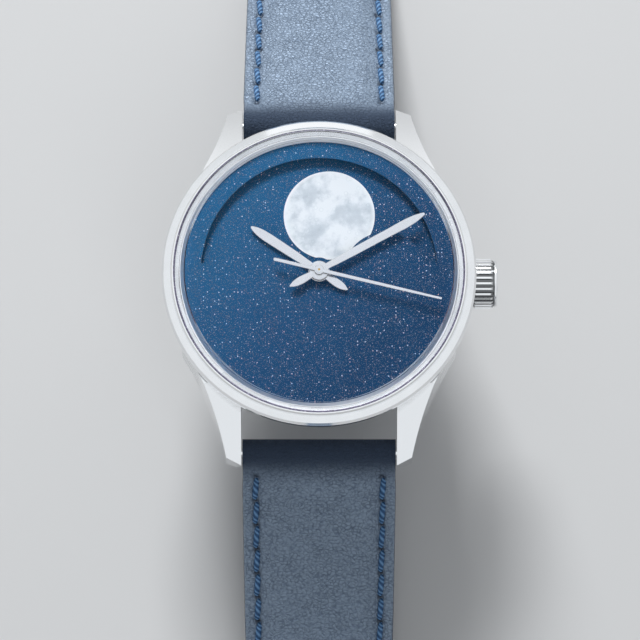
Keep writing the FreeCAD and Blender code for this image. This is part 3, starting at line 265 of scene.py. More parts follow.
# %% Leather grain group
leather_grain, enter, leave = group("leather_grain", [("Size", 1.0), ("Depth", 0.4)],
                                    [("Mask", "NodeSocketFloat"), ("Normal", "NodeSocketVector")])
where = place_of(leather_grain, (0.82, 1.1, 1.1))
warp = add(leather_grain, "ShaderNodeTexNoise", Scale=1100.0, Detail=3.0)
join(leather_grain, where, warp.inputs["Vector"])
warp_step = add(leather_grain, "ShaderNodeVectorMath", operation="SCALE", Scale=0.0005)
join(leather_grain, warp.outputs["Color"], warp_step.inputs[0])
warped = add(leather_grain, "ShaderNodeVectorMath", operation="ADD")
join(leather_grain, where, warped.inputs[0])
join(leather_grain, warp_step.outputs[0], warped.inputs[1])
cell_scale = calc(leather_grain, "MULTIPLY", enter.outputs["Size"], 2900.0)
pebbles = add(leather_grain, "ShaderNodeTexVoronoi", feature="SMOOTH_F1", Smoothness=0.45)
join(leather_grain, warped.outputs[0], pebbles.inputs["Vector"])
join(leather_grain, cell_scale, pebbles.inputs["Scale"])
pebble_height = ramp(leather_grain, pebbles.outputs["Distance"],
                     [(0.2, (1, 1, 1)), (1.0, (0, 0, 0))])
creases = add(leather_grain, "ShaderNodeTexVoronoi", feature="DISTANCE_TO_EDGE",
              Scale=2200.0)
join(leather_grain, warped.outputs[0], creases.inputs["Vector"])
crease_line = ramp(leather_grain, creases.outputs["Distance"],
                   [(0.0, (0, 0, 0)), (0.12, (1, 1, 1))])
patches = add(leather_grain, "ShaderNodeTexNoise", Scale=420.0, Detail=3.0)
join(leather_grain, where, patches.inputs["Vector"])
patch_share = ramp(leather_grain, patches.outputs["Fac"],
                   [(0.35, (0.5,) * 3), (0.65, (0.8,) * 3)])
folds = mix_colour(leather_grain, patch_share.outputs["Color"], (1, 1, 1),
                   crease_line.outputs["Color"])
height = calc(leather_grain, "MULTIPLY_ADD", folds, 1.1, pebble_height.outputs["Color"])
grain_mask = calc(leather_grain, "MULTIPLY", folds, pebble_height.outputs["Color"])
grain_bump = add(leather_grain, "ShaderNodeBump", Distance=0.00012)
join(leather_grain, enter.outputs["Depth"], grain_bump.inputs["Strength"])
join(leather_grain, height, grain_bump.inputs["Height"])
join(leather_grain, grain_mask, leave.inputs["Mask"])
join(leather_grain, grain_bump.outputs["Normal"], leave.inputs["Normal"])

# %% Brushed lines group
brushed_lines, enter, leave = group("brushed_lines",
                                    [("X", 1.0), ("Y", 1.0), ("Z", 1.0), ("Lines", 900.0),
                                     ("Bump", 0.25)],
                                    [("Mask", "NodeSocketFloat"), ("Normal", "NodeSocketVector")])
stretch = brushed_lines.nodes.new("ShaderNodeCombineXYZ")
stretched = add(brushed_lines, "ShaderNodeVectorMath", operation="MULTIPLY")
grain = add(brushed_lines, "ShaderNodeTexNoise", Detail=3.0, Roughness=0.7)
line_bump = add(brushed_lines, "ShaderNodeBump", Distance=0.00003)
for axis in "XYZ":
    join(brushed_lines, enter.outputs[axis], stretch.inputs[axis])
join(brushed_lines, place_of(brushed_lines), stretched.inputs[0])
join(brushed_lines, stretch.outputs["Vector"], stretched.inputs[1])
join(brushed_lines, stretched.outputs[0], grain.inputs["Vector"])
join(brushed_lines, enter.outputs["Lines"], grain.inputs["Scale"])
join(brushed_lines, enter.outputs["Bump"], line_bump.inputs["Strength"])
join(brushed_lines, grain.outputs["Fac"], line_bump.inputs["Height"])
join(brushed_lines, grain.outputs["Fac"], leave.inputs["Mask"])
join(brushed_lines, line_bump.outputs["Normal"], leave.inputs["Normal"])
print("groups", [g.name for g in bpy.data.node_groups])


def use_group(tree, made, **values):
    """A group node with its inputs set."""
    node = tree.nodes.new("ShaderNodeGroup")
    node.node_tree = made
    for key, value in values.items():
        node.inputs[key].default_value = value
    return node


# %% [markdown]
# Four metals cover the case and movement: mirror polish, a brushed grain, gilt brass and blued
# steel. Each starts from a plain metallic shader and takes its smears and hairlines from the
# group, so light breaks up on it as it does on real steel. The crown's colour darkens towards
# the stem's axis, except beyond the cap's edge: painted shade in its grooves, with some grime.

# %% Metals
def metal(name, colour, rough, smear=0.06, bump=0.05, scale=300.0):
    """A metallic paint whose roughness drifts with handling marks."""
    made, tree, shader = material(name)
    marks = use_group(tree, handled, Scale=scale, Bump=bump)
    drift = ramp(tree, marks.outputs["Mask"],
                 [(0.3, (rough, rough, rough)), (0.75, (rough + smear,) * 3)])
    tone = ramp(tree, marks.outputs["Mask"],
                [(0.3, colour), (0.8, tuple(c * 0.94 for c in colour))])
    join(tree, drift.outputs["Color"], shader.inputs["Roughness"])
    join(tree, tone.outputs["Color"], shader.inputs["Base Color"])
    join(tree, marks.outputs["Normal"], shader.inputs["Normal"])
    shader.inputs["Metallic"].default_value = 1.0
    return made


polished_steel = metal("polished_steel", (0.92, 0.93, 0.94), 0.08)
hand_polish = metal("hand_polish", (0.84, 0.85, 0.87), 0.16, smear=0.03, bump=0.02)
bright_ring = metal("bright_ring", (0.93, 0.94, 0.95), 0.3, smear=0.03, bump=0.0)
gilt_brass = metal("gilt_brass", (0.83, 0.62, 0.3), 0.22, scale=900.0)
wheel_steel = metal("wheel_steel", (0.72, 0.73, 0.75), 0.18, scale=900.0)
blued_steel = metal("blued_steel", (0.03, 0.07, 0.36), 0.2, scale=900.0)
print("metals", [m.name for m in bpy.data.materials if m.name != "floor_paint"])

# %% Crown with dark grooves
CROWN_AXIS_Z = 4.4 * MM
CAP_X = 22.9 * MM
GROOVE_R = 3.04 * MM
RIB_R = 3.26 * MM
crown_steel = metal("crown_steel", (0.92, 0.93, 0.94), 0.12)
tree = crown_steel.node_tree
shader = tree.nodes["Principled BSDF"]
apart = tree.nodes.new("ShaderNodeSeparateXYZ")
join(tree, place_of(tree), apart.inputs["Vector"])
above = calc(tree, "SUBTRACT", apart.outputs["Z"], CROWN_AXIS_Z)
round_axis = tree.nodes.new("ShaderNodeCombineXYZ")
join(tree, apart.outputs["Y"], round_axis.inputs["X"])
join(tree, above, round_axis.inputs["Y"])
from_axis = add(tree, "ShaderNodeVectorMath", operation="LENGTH")
join(tree, round_axis.outputs["Vector"], from_axis.inputs[0])
on_rib = add(tree, "ShaderNodeMapRange", From_Min=GROOVE_R, From_Max=RIB_R)
join(tree, from_axis.outputs["Value"], on_rib.inputs["Value"])
on_cap = calc(tree, "GREATER_THAN", apart.outputs["X"], CAP_X)
on_rib_or_cap = calc(tree, "MAXIMUM", on_rib.outputs["Result"], on_cap)
steel_tone = shader.inputs["Base Color"].links[0].from_socket
# Painted shade with some grime: the colour darkens in the grooves, but not on the ribs or the cap.
grime_and_groove_shade = mix_colour(tree, on_rib_or_cap, (0.16, 0.165, 0.17), steel_tone)
join(tree, grime_and_groove_shade, shader.inputs["Base Color"])
print("crown grooves darken below radius", GROOVE_R / MM, "mm")


# %% Brushed metals
def brushed(name, colour, rough, stretch, lines=900.0, depth=0.25):
    """Metal with a fine one-way grain; stretch is small where the lines run."""
    made, tree, shader = material(name)
    grain = use_group(tree, brushed_lines, X=stretch[0], Y=stretch[1], Z=stretch[2],
                      Lines=lines, Bump=depth)
    tone = ramp(tree, grain.outputs["Mask"],
                [(0.25, tuple(c * 0.82 for c in colour)), (0.75, colour)])
    sheen = ramp(tree, grain.outputs["Mask"], [(0.2, (rough,) * 3), (0.8, (rough + 0.14,) * 3)])
    join(tree, tone.outputs["Color"], shader.inputs["Base Color"])
    join(tree, sheen.outputs["Color"], shader.inputs["Roughness"])
    join(tree, grain.outputs["Normal"], shader.inputs["Normal"])
    shader.inputs["Metallic"].default_value = 1.0
    return made, tree, shader, grain


back_brushed = brushed("back_brushed", (0.74, 0.75, 0.76), 0.22, (4.0, 0.2, 1.0))[0]
plate_frosted = brushed("plate_frosted", (0.7, 0.7, 0.71), 0.3, (1.0, 1.0, 1.0), lines=2500.0)[0]
print("brushed", back_brushed.name, plate_frosted.name)

# %% [markdown]
# The case's flank is brushed all round, while its lugs are polished. Both belong to one solid, so
# the distance from the case's axis tells them apart: beyond the bezel's edge the grain fades out
# and the surface turns smooth and bright.

# %% Case with polished lugs
LUG_FROM = 20.3 * MM
LUG_FULL = 20.8 * MM
FLANK_BUMP = 0.25
LUG_BUMP = 0.01
case_steel, tree, shader, grain = brushed("case_steel", (0.86, 0.87, 0.88), 0.2,
                                          (0.12, 0.12, 6.0))
spot = tree.nodes.new("ShaderNodeSeparateXYZ")
join(tree, place_of(tree), spot.inputs["Vector"])
flat_spot = tree.nodes.new("ShaderNodeCombineXYZ")
join(tree, spot.outputs["X"], flat_spot.inputs["X"])
join(tree, spot.outputs["Y"], flat_spot.inputs["Y"])
radius = add(tree, "ShaderNodeVectorMath", operation="LENGTH")
join(tree, flat_spot.outputs["Vector"], radius.inputs[0])
on_lug = add(tree, "ShaderNodeMapRange", From_Min=LUG_FROM, From_Max=LUG_FULL)
join(tree, radius.outputs["Value"], on_lug.inputs["Value"])
for socket, on_lugs in (("Roughness", (0.1, 0.1, 0.1)), ("Base Color", (0.88, 0.89, 0.9))):
    on_flank = shader.inputs[socket].links[0].from_socket
    join(tree, mix_colour(tree, on_lug.outputs["Result"], on_flank, on_lugs), shader.inputs[socket])
bump = calc(tree, "MULTIPLY_ADD", on_lug.outputs["Result"], LUG_BUMP - FLANK_BUMP, FLANK_BUMP)
join(tree, bump, grain.inputs["Bump"])
print("lugs polished beyond", round(LUG_FROM / MM, 1), "mm")

# %% [markdown]
# Bridges of a good movement carry broad parallel stripes, cut by a turning abrasive. Each stripe
# rises slowly and ends in an edge, so a saw wave drives both the brightness and the bump.

# %% Striped bridges
STRIPES = 165.0
striped, tree, shader = material("striped_bridge")
where = place_of(tree)
stripe = add(tree, "ShaderNodeTexWave", wave_type="BANDS", bands_direction="DIAGONAL",
             wave_profile="SAW", Scale=STRIPES, Distortion=0.0)
join(tree, where, stripe.inputs["Vector"])
tone = ramp(tree, stripe.outputs["Fac"], [(0.0, (0.6, 0.61, 0.62)), (1.0, (0.86, 0.86, 0.87))])
sheen = ramp(tree, stripe.outputs["Fac"], [(0.0, (0.34,) * 3), (1.0, (0.16,) * 3)])
stripe_bump = add(tree, "ShaderNodeBump", Strength=0.3, Distance=0.0001)
join(tree, stripe.outputs["Fac"], stripe_bump.inputs["Height"])
join(tree, tone.outputs["Color"], shader.inputs["Base Color"])
join(tree, sheen.outputs["Color"], shader.inputs["Roughness"])
join(tree, stripe_bump.outputs["Normal"], shader.inputs["Normal"])
shader.inputs["Metallic"].default_value = 1.0
print("stripes on", striped.name)

# %% [markdown]
# The dial is dark blue glass full of copper flecks. A cell pattern with one random number per
# cell decides which few cells hold a fleck; each flake is painted with its glint, white, pink or
# copper. Three sizes of cells keep the flecks from looking regular. The blue turns, as painted
# light, from navy at the lower right to teal at the upper left, with slow clouds in between.

# %% Sparkling dial glass
def fleck_layer(tree, where, scale, keep, size):
    """A mask of small dots and the random colour of each dot."""
    cells = add(tree, "ShaderNodeTexVoronoi", voronoi_dimensions="2D", feature="F1", Scale=scale)
    join(tree, where, cells.inputs["Vector"])
    split = tree.nodes.new("ShaderNodeSeparateColor")
    join(tree, cells.outputs["Color"], split.inputs["Color"])
    chosen = calc(tree, "GREATER_THAN", split.outputs["Red"], keep)
    near = calc(tree, "LESS_THAN", cells.outputs["Distance"], size)
    return calc(tree, "MULTIPLY", chosen, near), split.outputs["Green"]


starry_glass, tree, shader = material("starry_glass")
where = place_of(tree)
slope = tree.nodes.new("ShaderNodeSeparateXYZ")
join(tree, where, slope.inputs["Vector"])
# Painted light: the blue lightens towards the upper left.
lean = calc(tree, "SUBTRACT", slope.outputs["Y"], slope.outputs["X"])
lit_side_share = add(tree, "ShaderNodeMapRange", From_Min=-20 * MM, From_Max=24 * MM)
join(tree, lean, lit_side_share.inputs["Value"])
cloud = add(tree, "ShaderNodeTexNoise", Scale=160.0, Detail=4.0)
join(tree, where, cloud.inputs["Vector"])
clouds_and_lit_side = calc(tree, "MULTIPLY_ADD", cloud.outputs["Fac"], 0.25, lit_side_share.outputs["Result"])
night = ramp(tree, clouds_and_lit_side,
             [(0.05, (0.008, 0.04, 0.103)), (0.55, (0.013, 0.066, 0.158)),
              (1.0, (0.018, 0.102, 0.226))])
starry = night.outputs["Color"]
# Painted glints: the flecks are drawn bright, the brightest near white.
for scale, keep, size, glint_level in ((5200.0, 0.66, 0.22, 0.18), (3600.0, 0.84, 0.16, 0.45),
                                 (2000.0, 0.91, 0.12, 1.0)):
    dots, tint = fleck_layer(tree, where, scale, keep, size)
    fleck_glint = ramp(tree, tint, [(0.0, tuple(glint_level * c for c in (0.5, 0.75, 1.0))),
                              (0.45, tuple(glint_level * c for c in (0.95, 0.95, 1.0))),
                              (0.75, tuple(glint_level * c for c in (1.0, 0.8, 0.85))),
                              (1.0, tuple(glint_level * c for c in (0.8, 0.5, 0.45)))])
    starry = mix_colour(tree, dots, starry, fleck_glint.outputs["Color"])
join(tree, starry, shader.inputs["Base Color"])
shader.inputs["Roughness"].default_value = 0.3
shader.inputs["Specular IOR Level"].default_value = 0.06
print("dial glass nodes", len(tree.nodes))

# %% [markdown]
# The moon is a soft print: a bright disc with grey plains, round craters and a paler limb. Its
# plains come from a noise with ragged edges, and a fine cell pattern adds the craters. It is
# printed flat, so it gets colour but no relief. The limb needs each moon's own centre.

# %% Printed moon
MOON_R = 5.95 * MM
MOON_ORBIT = 7.95 * MM
MOON_HEADING = math.radians(80.4)
MOON_Z = 9.7 * MM
moon_print, tree, shader = material("moon_print")
where = place_of(tree)
plains = add(tree, "ShaderNodeTexNoise", Scale=300.0, Detail=8.0, Roughness=0.6, Distortion=0.15)
join(tree, where, plains.inputs["Vector"])
plain_tone = ramp(tree, plains.outputs["Fac"],
                  [(0.44, (0.72, 0.765, 0.8)), (0.5, (0.64, 0.69, 0.735)),
                   (0.56, (0.54, 0.6, 0.65)), (0.72, (0.44, 0.5, 0.56))])
craters = add(tree, "ShaderNodeTexVoronoi", Scale=1000.0)
join(tree, where, craters.inputs["Vector"])
crater_tone = ramp(tree, craters.outputs["Distance"],
                   [(0.0, (1, 1, 1)), (0.14, (1, 1, 1)), (0.22, (0.86, 0.88, 0.9)),
                    (0.34, (0.97, 0.97, 0.98))])
moon_mix = tree.nodes.new("ShaderNodeMix")
moon_mix.data_type = "RGBA"
moon_mix.blend_type = "MULTIPLY"
moon_mix.inputs["Factor"].default_value = 0.7
join(tree, plain_tone.outputs["Color"], moon_mix.inputs[6])
join(tree, crater_tone.outputs["Color"], moon_mix.inputs[7])
nearest = add(tree, "ShaderNodeMath", operation="MINIMUM")
for input_index, way in enumerate((1, -1)):
    to_moon = add(tree, "ShaderNodeVectorMath", operation="DISTANCE")
    to_moon.inputs[1].default_value = (way * MOON_ORBIT * math.cos(MOON_HEADING),
                                       way * MOON_ORBIT * math.sin(MOON_HEADING), MOON_Z)
    join(tree, where, to_moon.inputs[0])
    join(tree, to_moon.outputs["Value"], nearest.inputs[input_index])
limb = add(tree, "ShaderNodeMapRange", From_Min=MOON_R - 0.5 * MM, From_Max=MOON_R - 0.05 * MM)
join(tree, nearest.outputs[0], limb.inputs["Value"])
moon_colour = mix_colour(tree, limb.outputs["Result"], moon_mix.outputs[2], (0.74, 0.78, 0.81))
join(tree, moon_colour, shader.inputs["Base Color"])
shader.inputs["Roughness"].default_value = 0.5
shader.inputs["Specular IOR Level"].default_value = 0.05
print("moon radius in mm", round(MOON_R / MM, 2), "at", round(MOON_ORBIT / MM, 2))

# %% [markdown]
# Clear sapphire with a thin coating hardly reflects, so its refraction is set low. Lamps could not
# reach the dial through solid glass, so for shadow rays alone the crystal turns transparent.

# %% Crystal, stones and rubber
COATED_IOR = 1.1
sapphire, tree, shader = material("sapphire")
shader.inputs["Base Color"].default_value = (0.97, 0.98, 1.0, 1)
shader.inputs["Roughness"].default_value = 0.0
shader.inputs["IOR"].default_value = COATED_IOR
shader.inputs["Transmission Weight"].default_value = 1.0
ray = tree.nodes.new("ShaderNodeLightPath")
clear = tree.nodes.new("ShaderNodeBsdfTransparent")
choose = tree.nodes.new("ShaderNodeMixShader")
join(tree, ray.outputs["Is Shadow Ray"], choose.inputs["Fac"])
join(tree, shader.outputs["BSDF"], choose.inputs[1])
join(tree, clear.outputs["BSDF"], choose.inputs[2])
join(tree, choose.outputs["Shader"], tree.nodes["Material Output"].inputs["Surface"])

ruby, tree, shader = material("ruby")
speck = add(tree, "ShaderNodeTexNoise", Scale=3000.0)
join(tree, place_of(tree), speck.inputs["Vector"])
ruby_tone = ramp(tree, speck.outputs["Fac"], [(0.3, (0.5, 0.01, 0.08)), (0.7, (0.75, 0.04, 0.16))])
join(tree, ruby_tone.outputs["Color"], shader.inputs["Base Color"])
shader.inputs["Roughness"].default_value = 0.08
shader.inputs["Coat Weight"].default_value = 0.6

gasket_rubber, tree, shader = material("gasket_rubber")
dust = add(tree, "ShaderNodeTexNoise", Scale=1800.0, Detail=4.0)
join(tree, place_of(tree), dust.inputs["Vector"])
dust_tone = ramp(tree, dust.outputs["Fac"],
                 [(0.3, (0.02, 0.02, 0.022)), (0.8, (0.07, 0.07, 0.075))])
join(tree, dust_tone.outputs["Color"], shader.inputs["Base Color"])
shader.inputs["Roughness"].default_value = 0.7

violet_seal, tree, shader = material("violet_seal")
fleck_noise = add(tree, "ShaderNodeTexNoise", Scale=4200.0, Detail=3.0)
join(tree, place_of(tree), fleck_noise.inputs["Vector"])
seal_tone = ramp(tree, fleck_noise.outputs["Fac"],
                 [(0.35, (0.06, 0.055, 0.1)), (0.6, (0.16, 0.15, 0.24)), (0.75, (0.5, 0.5, 0.58))])
join(tree, seal_tone.outputs["Color"], shader.inputs["Base Color"])
shader.inputs["Roughness"].default_value = 0.4
print("glass, stone and rubber", sapphire.name, ruby.name, gasket_rubber.name, violet_seal.name)

# %% Give every node of the frame its surface
surfaces = {
    case_steel: ["case_middle"],
    bright_ring: ["flange_ring"],
    crown_steel: ["crown"],
    polished_steel: ["bezel", "crown_tube", "spring_bars",
                     "spring_bar_plunger_12", "spring_bar_plunger_6", "buckle_frame",
                     "buckle_tongue", "winding_stem"],
    back_brushed: ["case_back"],
    sapphire: ["crystal", "case_back_crystal"],
    gasket_rubber: ["case_back_gasket"],
    violet_seal: ["crystal_gasket"],
    gilt_brass: ["dial_plate", "hour_wheel", "minute_wheel", "moon_wheel_first", "balance_wheel",
                 "moon_wheel_second", "moon_disc_wheel", "second_wheel", "third_wheel",
                 "seconds_wheel", "barrel_drum"],
    starry_glass: ["dial", "moon_disc"],
    moon_print: ["moons"],
    hand_polish: ["seconds_hand", "minute_hand", "hour_hand"],
    wheel_steel: ["cannon_pinion", "driving_pinion", "escape_wheel", "pallet_fork",
                  "ratchet_wheel", "crown_wheel", "click", "click_spring", "winding_pinion",
                  "sliding_pinion", "setting_lever"],
    striped: ["barrel_bridge", "train_bridge", "balance_cock"],
    plate_frosted: ["mainplate", "moon_plate", "movement_ring"],
    blued_steel: ["hairspring", "mainspring", "movement_screws"],
    ruby: ["jewels"],
}
for paint, names in surfaces.items():
    for name in names:
        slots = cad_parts[name].data.materials
        slots.clear()
        slots.append(paint)
print("nodes dressed", sum(len(names) for names in surfaces.values()))

# %% [markdown]
# The strap halves slope down from the spring bars, bend and lie flat. One function gives the
# middle line's place and heading at any distance from the bar, in the same sizes as the solid
# strap. Every strap piece is made flat first and then carried along this line.

# %% The strap's line
BAR_Y = 22.2 * MM
BAR_Z = 2.0 * MM
SLOPE = math.radians(33.0)
STRAIGHT = 24.0 * MM
BEND_R = 28.0 * MM
LONG = 115.0 * MM
SHORT = 75.0 * MM
ROLL_R = 1.8 * MM
FULL_T = 4.0 * MM
END_T = 2.6 * MM
LINING_T = 0.9 * MM
WIDE_HALF = 10.0 * MM
BULGE = 0.1 * MM
END_HALF = 9.0 * MM
STITCH_INSET = 1.75 * MM
TAPER_Y = 84.2 * MM
TAPER_START = BAR_Y + 1.5 * MM
TIP_LONG = 9 * MM
TIP_HALF = 2.4 * MM


def strap_place(along, side):
    """Place and heading of a strap half's middle line; side is 1 at 12 and -1 at 6 o'clock."""
    if along <= STRAIGHT:
        y, z, turn = along * math.cos(SLOPE), -along * math.sin(SLOPE), SLOPE
    else:
        turn = max(0.0, SLOPE - (along - STRAIGHT) / BEND_R)
        y = STRAIGHT * math.cos(SLOPE) + BEND_R * (math.sin(SLOPE) - math.sin(turn))
        z = -STRAIGHT * math.sin(SLOPE) - BEND_R * (math.cos(turn) - math.cos(SLOPE))
        y += max(0.0, along - STRAIGHT - BEND_R * SLOPE)
    return side * (BAR_Y + y), BAR_Z + z, turn


def half_t(along):
    """Half of the strap's thickness."""
    share = min(1.0, max(0.0, along) / (STRAIGHT + 16 * MM))
    return (FULL_T + (END_T - FULL_T) * share) / 2


def carry(across, along, rise, side):
    """A flat strap point, set on the curved line."""
    y, z, turn = strap_place(along, side)
    return Vector((across, y + side * rise * math.sin(turn), z + rise * math.cos(turn)))


for side, length in ((1, SHORT), (-1, LONG)):
    print("strap end in mm", [round(v / MM, 2) for v in carry(0, length, 0, side)])

# %% [markdown]
# Padded straps carry a filler under the leather, so the middle stands proud and the margins are
# thin. One height function describes that skin: a raised middle, a soft shoulder, a shallow
# channel for the stitches with a pit where each thread dives, and a rolled edge.

# %% Height of the leather skin
PITCH = {1: 3.62 * MM, -1: 3.42 * MM}
PHASE = {1: 0.0 * MM, -1: -0.57 * MM}
PAD_DROP = 0.62 * MM
PAD_FADE = 62.0 * MM
CHANNEL = 0.16 * MM
PIT = 0.45 * MM
EDGE_ROLL = 0.5 * MM


def smooth(low, high, value):
    """A soft step from 0 at low to 1 at high."""
    share = min(1.0, max(0.0, (value - low) / (high - low)))
    return share * share * (3 - 2 * share)


def strap_half(along, length, pointed):
    """Half of the strap's width at a distance from the bar."""
    y = abs(strap_place(along, 1)[0])
    end_y = abs(strap_place(length, 1)[0])
    share = (y - TAPER_START) / (TAPER_Y - TAPER_START)
    wide = WIDE_HALF + (END_HALF - WIDE_HALF) * min(1.0, max(0.0, share))
    wide += BULGE * smooth(2.5 * MM, 5 * MM, along) * (1 - smooth(20 * MM, 40 * MM, along))
    to_end = end_y - y
    if pointed and to_end < TIP_LONG:
        tip = max(0.0, to_end) / TIP_LONG
        wide = TIP_HALF + (wide - TIP_HALF) * math.sin(tip * math.pi / 2) ** 0.8
    return wide


def skin_rise(across, along, half, side):
    """Height of the leather above the middle line, and how deep in a stitch pit a point is."""
    from_edge = half - abs(across)
    pad = PAD_DROP * (1 - smooth(30 * MM, PAD_FADE, along))
    rise = half_t(along) - pad * (1 - smooth(1.9 * MM, 4.6 * MM, from_edge))
    rise += 0.12 * MM * smooth(5 * MM, half, from_edge)
    from_row = abs(from_edge - STITCH_INSET)
    rise -= CHANNEL * (1 - smooth(0.1 * MM, 0.75 * MM, from_row))
    phase = abs(((along - PHASE[side]) / PITCH[side]) % 1.0 - 0.5) * 2
    pit = smooth(0.68, 0.95, phase) * (1 - smooth(0.22 * MM, 0.55 * MM, from_row))
    rise -= PIT * pit
    roll = 1 - min(1.0, from_edge / EDGE_ROLL)
    rise -= EDGE_ROLL * (1 - math.sqrt(max(0.0, 1 - roll * roll)))
    start = 1 - smooth(0.0, 4 * MM, along)
    return rise * (1 - start) + (ROLL_R - max(0.0, roll) * 0.3 * MM) * start, pit


for across in (0.0, WIDE_HALF - STITCH_INSET, WIDE_HALF):
    print("skin height in mm", round(skin_rise(across, 10 * MM, WIDE_HALF, -1)[0] / MM, 2))

# %% [markdown]
# A layer of strap starts as a flat grid whose columns crowd together at the edge and at the
# stitch row, where the skin changes fastest. Round holes come from deleting the cells inside a
# circle and pulling the rim onto it. Extruding the sheet downwards closes it into a solid.

# %% Build one layer of strap
COLUMNS = [0.0, 0.7, 1.5, 2.4, 3.3, 4.2, 5.0, 5.7, 6.3, 6.85, 7.3, 7.62, 7.9, 8.12, 8.28, 8.44,
           8.68, 8.98, 9.25, 9.48, 9.66, 9.8, 9.92, 10.0]
ROW_STEP = PITCH[-1] / 6
FOLD_SHADE_LONG = 4.2 * MM
SLOT_HALF = 1.6 * MM


def strap_layer(side, length, pointed, low_rise, high_rise, holes=(), slot_at=None):
    """A flat strap layer between two height functions, with its pit and painted fold-shade weights
    stored.
    """
    columns = [-c for c in reversed(COLUMNS[1:])] + COLUMNS
    shares = [c * MM / WIDE_HALF for c in columns]
    rows = round(length / ROW_STEP)
    shape = bmesh.new()
    pit_layer = shape.verts.layers.float.new("pit")
    fold_shade_layer = shape.verts.layers.float.new("fold_shade")
    bmesh.ops.create_grid(shape, x_segments=len(shares) - 1, y_segments=rows, size=1.0)
    for vert in shape.verts:
        column = round((vert.co.x + 1) / 2 * (len(shares) - 1))
        along = (vert.co.y + 1) / 2 * length
        half = strap_half(along, length, pointed)
        vert.co = Vector((shares[column] * half, along, 0))
    for hole_along, radius in holes:
        centre = Vector((0, hole_along, 0))
        inside = [f for f in shape.faces if (f.calc_center_median() - centre).length < radius]
        rim = {v for f in inside for v in f.verts}
        bmesh.ops.delete(shape, geom=inside, context="FACES")
        for vert in (v for v in rim if v.is_valid):
            vert.co = centre + (vert.co - centre).normalized() * radius
    if slot_at is not None:
        inside = [f for f in shape.faces
                  if abs(f.calc_center_median().x) < SLOT_HALF
                  and f.calc_center_median().y > slot_at]
        bmesh.ops.delete(shape, geom=inside, context="FACES")
    top = list(shape.verts)
    grown = bmesh.ops.extrude_face_region(shape, geom=list(shape.faces))["geom"]
    under = [g for g in grown if isinstance(g, bmesh.types.BMVert)]
    for vert in top:
        half = strap_half(vert.co.y, length, pointed)
        # The fold's weight fades from 1 at the bar to 0; it paints shade on the leather there.
        vert[fold_shade_layer] = 1 - smooth(0.0, FOLD_SHADE_LONG, vert.co.y)
        vert.co.z, vert[pit_layer] = high_rise(vert.co.x, vert.co.y, half, side)
    for vert in under:
        half = strap_half(vert.co.y, length, pointed)
        vert.co.z = low_rise(vert.co.x, vert.co.y, half)
    return shape


print("rows in the long half", round(LONG / ROW_STEP), "columns", 2 * len(COLUMNS) - 1)

# %% Set a layer on its line
SHARP = math.radians(50)


def finish_strap(shape, name, side, body, nodes, paints):
    """Carry flat strap geometry along its line and make it an object on a body."""
    for vert in shape.verts:
        vert.co = carry(vert.co.x, vert.co.y, vert.co.z, side)
    bmesh.ops.recalc_face_normals(shape, faces=shape.faces)
    for edge in shape.edges:
        edge.smooth = len(edge.link_faces) == 2 and edge.calc_face_angle() < SHARP
    for face in shape.faces:
        face.smooth = True
        if len(paints) > 1 and abs(face.normal.x) > 0.75:
            face.material_index = 1
    mesh = bpy.data.meshes.new(name)
    shape.to_mesh(mesh)
    shape.free()
    made = bpy.data.objects.new(name, mesh)
    bpy.context.scene.collection.objects.link(made)
    for paint in paints:
        mesh.materials.append(paint)
    if nodes:
        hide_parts(*nodes)
    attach(made, body)
    return made


# %% Loops of leather round the bars
def hollow_out(shape, at, radius):
    """Give an end wall a round recess for the bar that the leather loops."""
    wall = [e for e in shape.edges if all(abs(v.co.y - at) < 1e-6 for v in e.verts)
            and abs(e.verts[0].co.z - e.verts[1].co.z) > radius]
    cut = bmesh.ops.subdivide_edges(shape, edges=wall, cuts=9, use_grid_fill=True)
    inward = 1 if at < 1 * MM else -1
    for vert in (g for g in cut["geom_inner"] if isinstance(g, bmesh.types.BMVert)):
        vert.co.y = at + inward * math.sqrt(max(0.0, radius ** 2 - vert.co.z ** 2))


def add_loop(shape, at, outer, bore, low_x, high_x):
    """A tube of leather round a bar, across the strap."""
    rings = []
    for radius in (outer, bore):
        circle = bmesh.ops.create_circle(shape, segments=36, radius=radius)["verts"]
        bmesh.ops.transform(shape, verts=circle, matrix=Matrix.Translation((low_x, at, 0))
                            @ Matrix.Rotation(math.pi / 2, 4, "Y"))
        rings += list({e for v in circle for e in v.link_edges})
    face_ring = bmesh.ops.bridge_loops(shape, edges=rings)["faces"]
    grown = bmesh.ops.extrude_face_region(shape, geom=face_ring)["geom"]
    moved = [g for g in grown if isinstance(g, bmesh.types.BMVert)]
    bmesh.ops.translate(shape, verts=moved, vec=(high_x - low_x, 0, 0))
    # The roll round the watch's bar is painted fully in the fold's shade.
    if at < 1 * MM:
        fold_shade_layer = shape.verts.layers.float["fold_shade"]
        for vert in moved + [v for f in face_ring for v in f.verts]:
            vert[fold_shade_layer] = 1.0


# %% [markdown]
# Calf leather is dyed through and glazed on top. The same mask that drives the relief also shifts
# colour and gloss: pebble tops are painted lighter and creases darker, as painted light and shade
# on the grain. The pits under the stitches are painted dark as shade, and the fold round the bar
# is painted darker as shade under the case and made duller, from attributes stored while modelling.

# %% Glazed leather
GLAZE = 0.2
strap_leather, tree, shader = material("strap_leather")
grain = use_group(tree, leather_grain, Size=1.0, Depth=0.9)
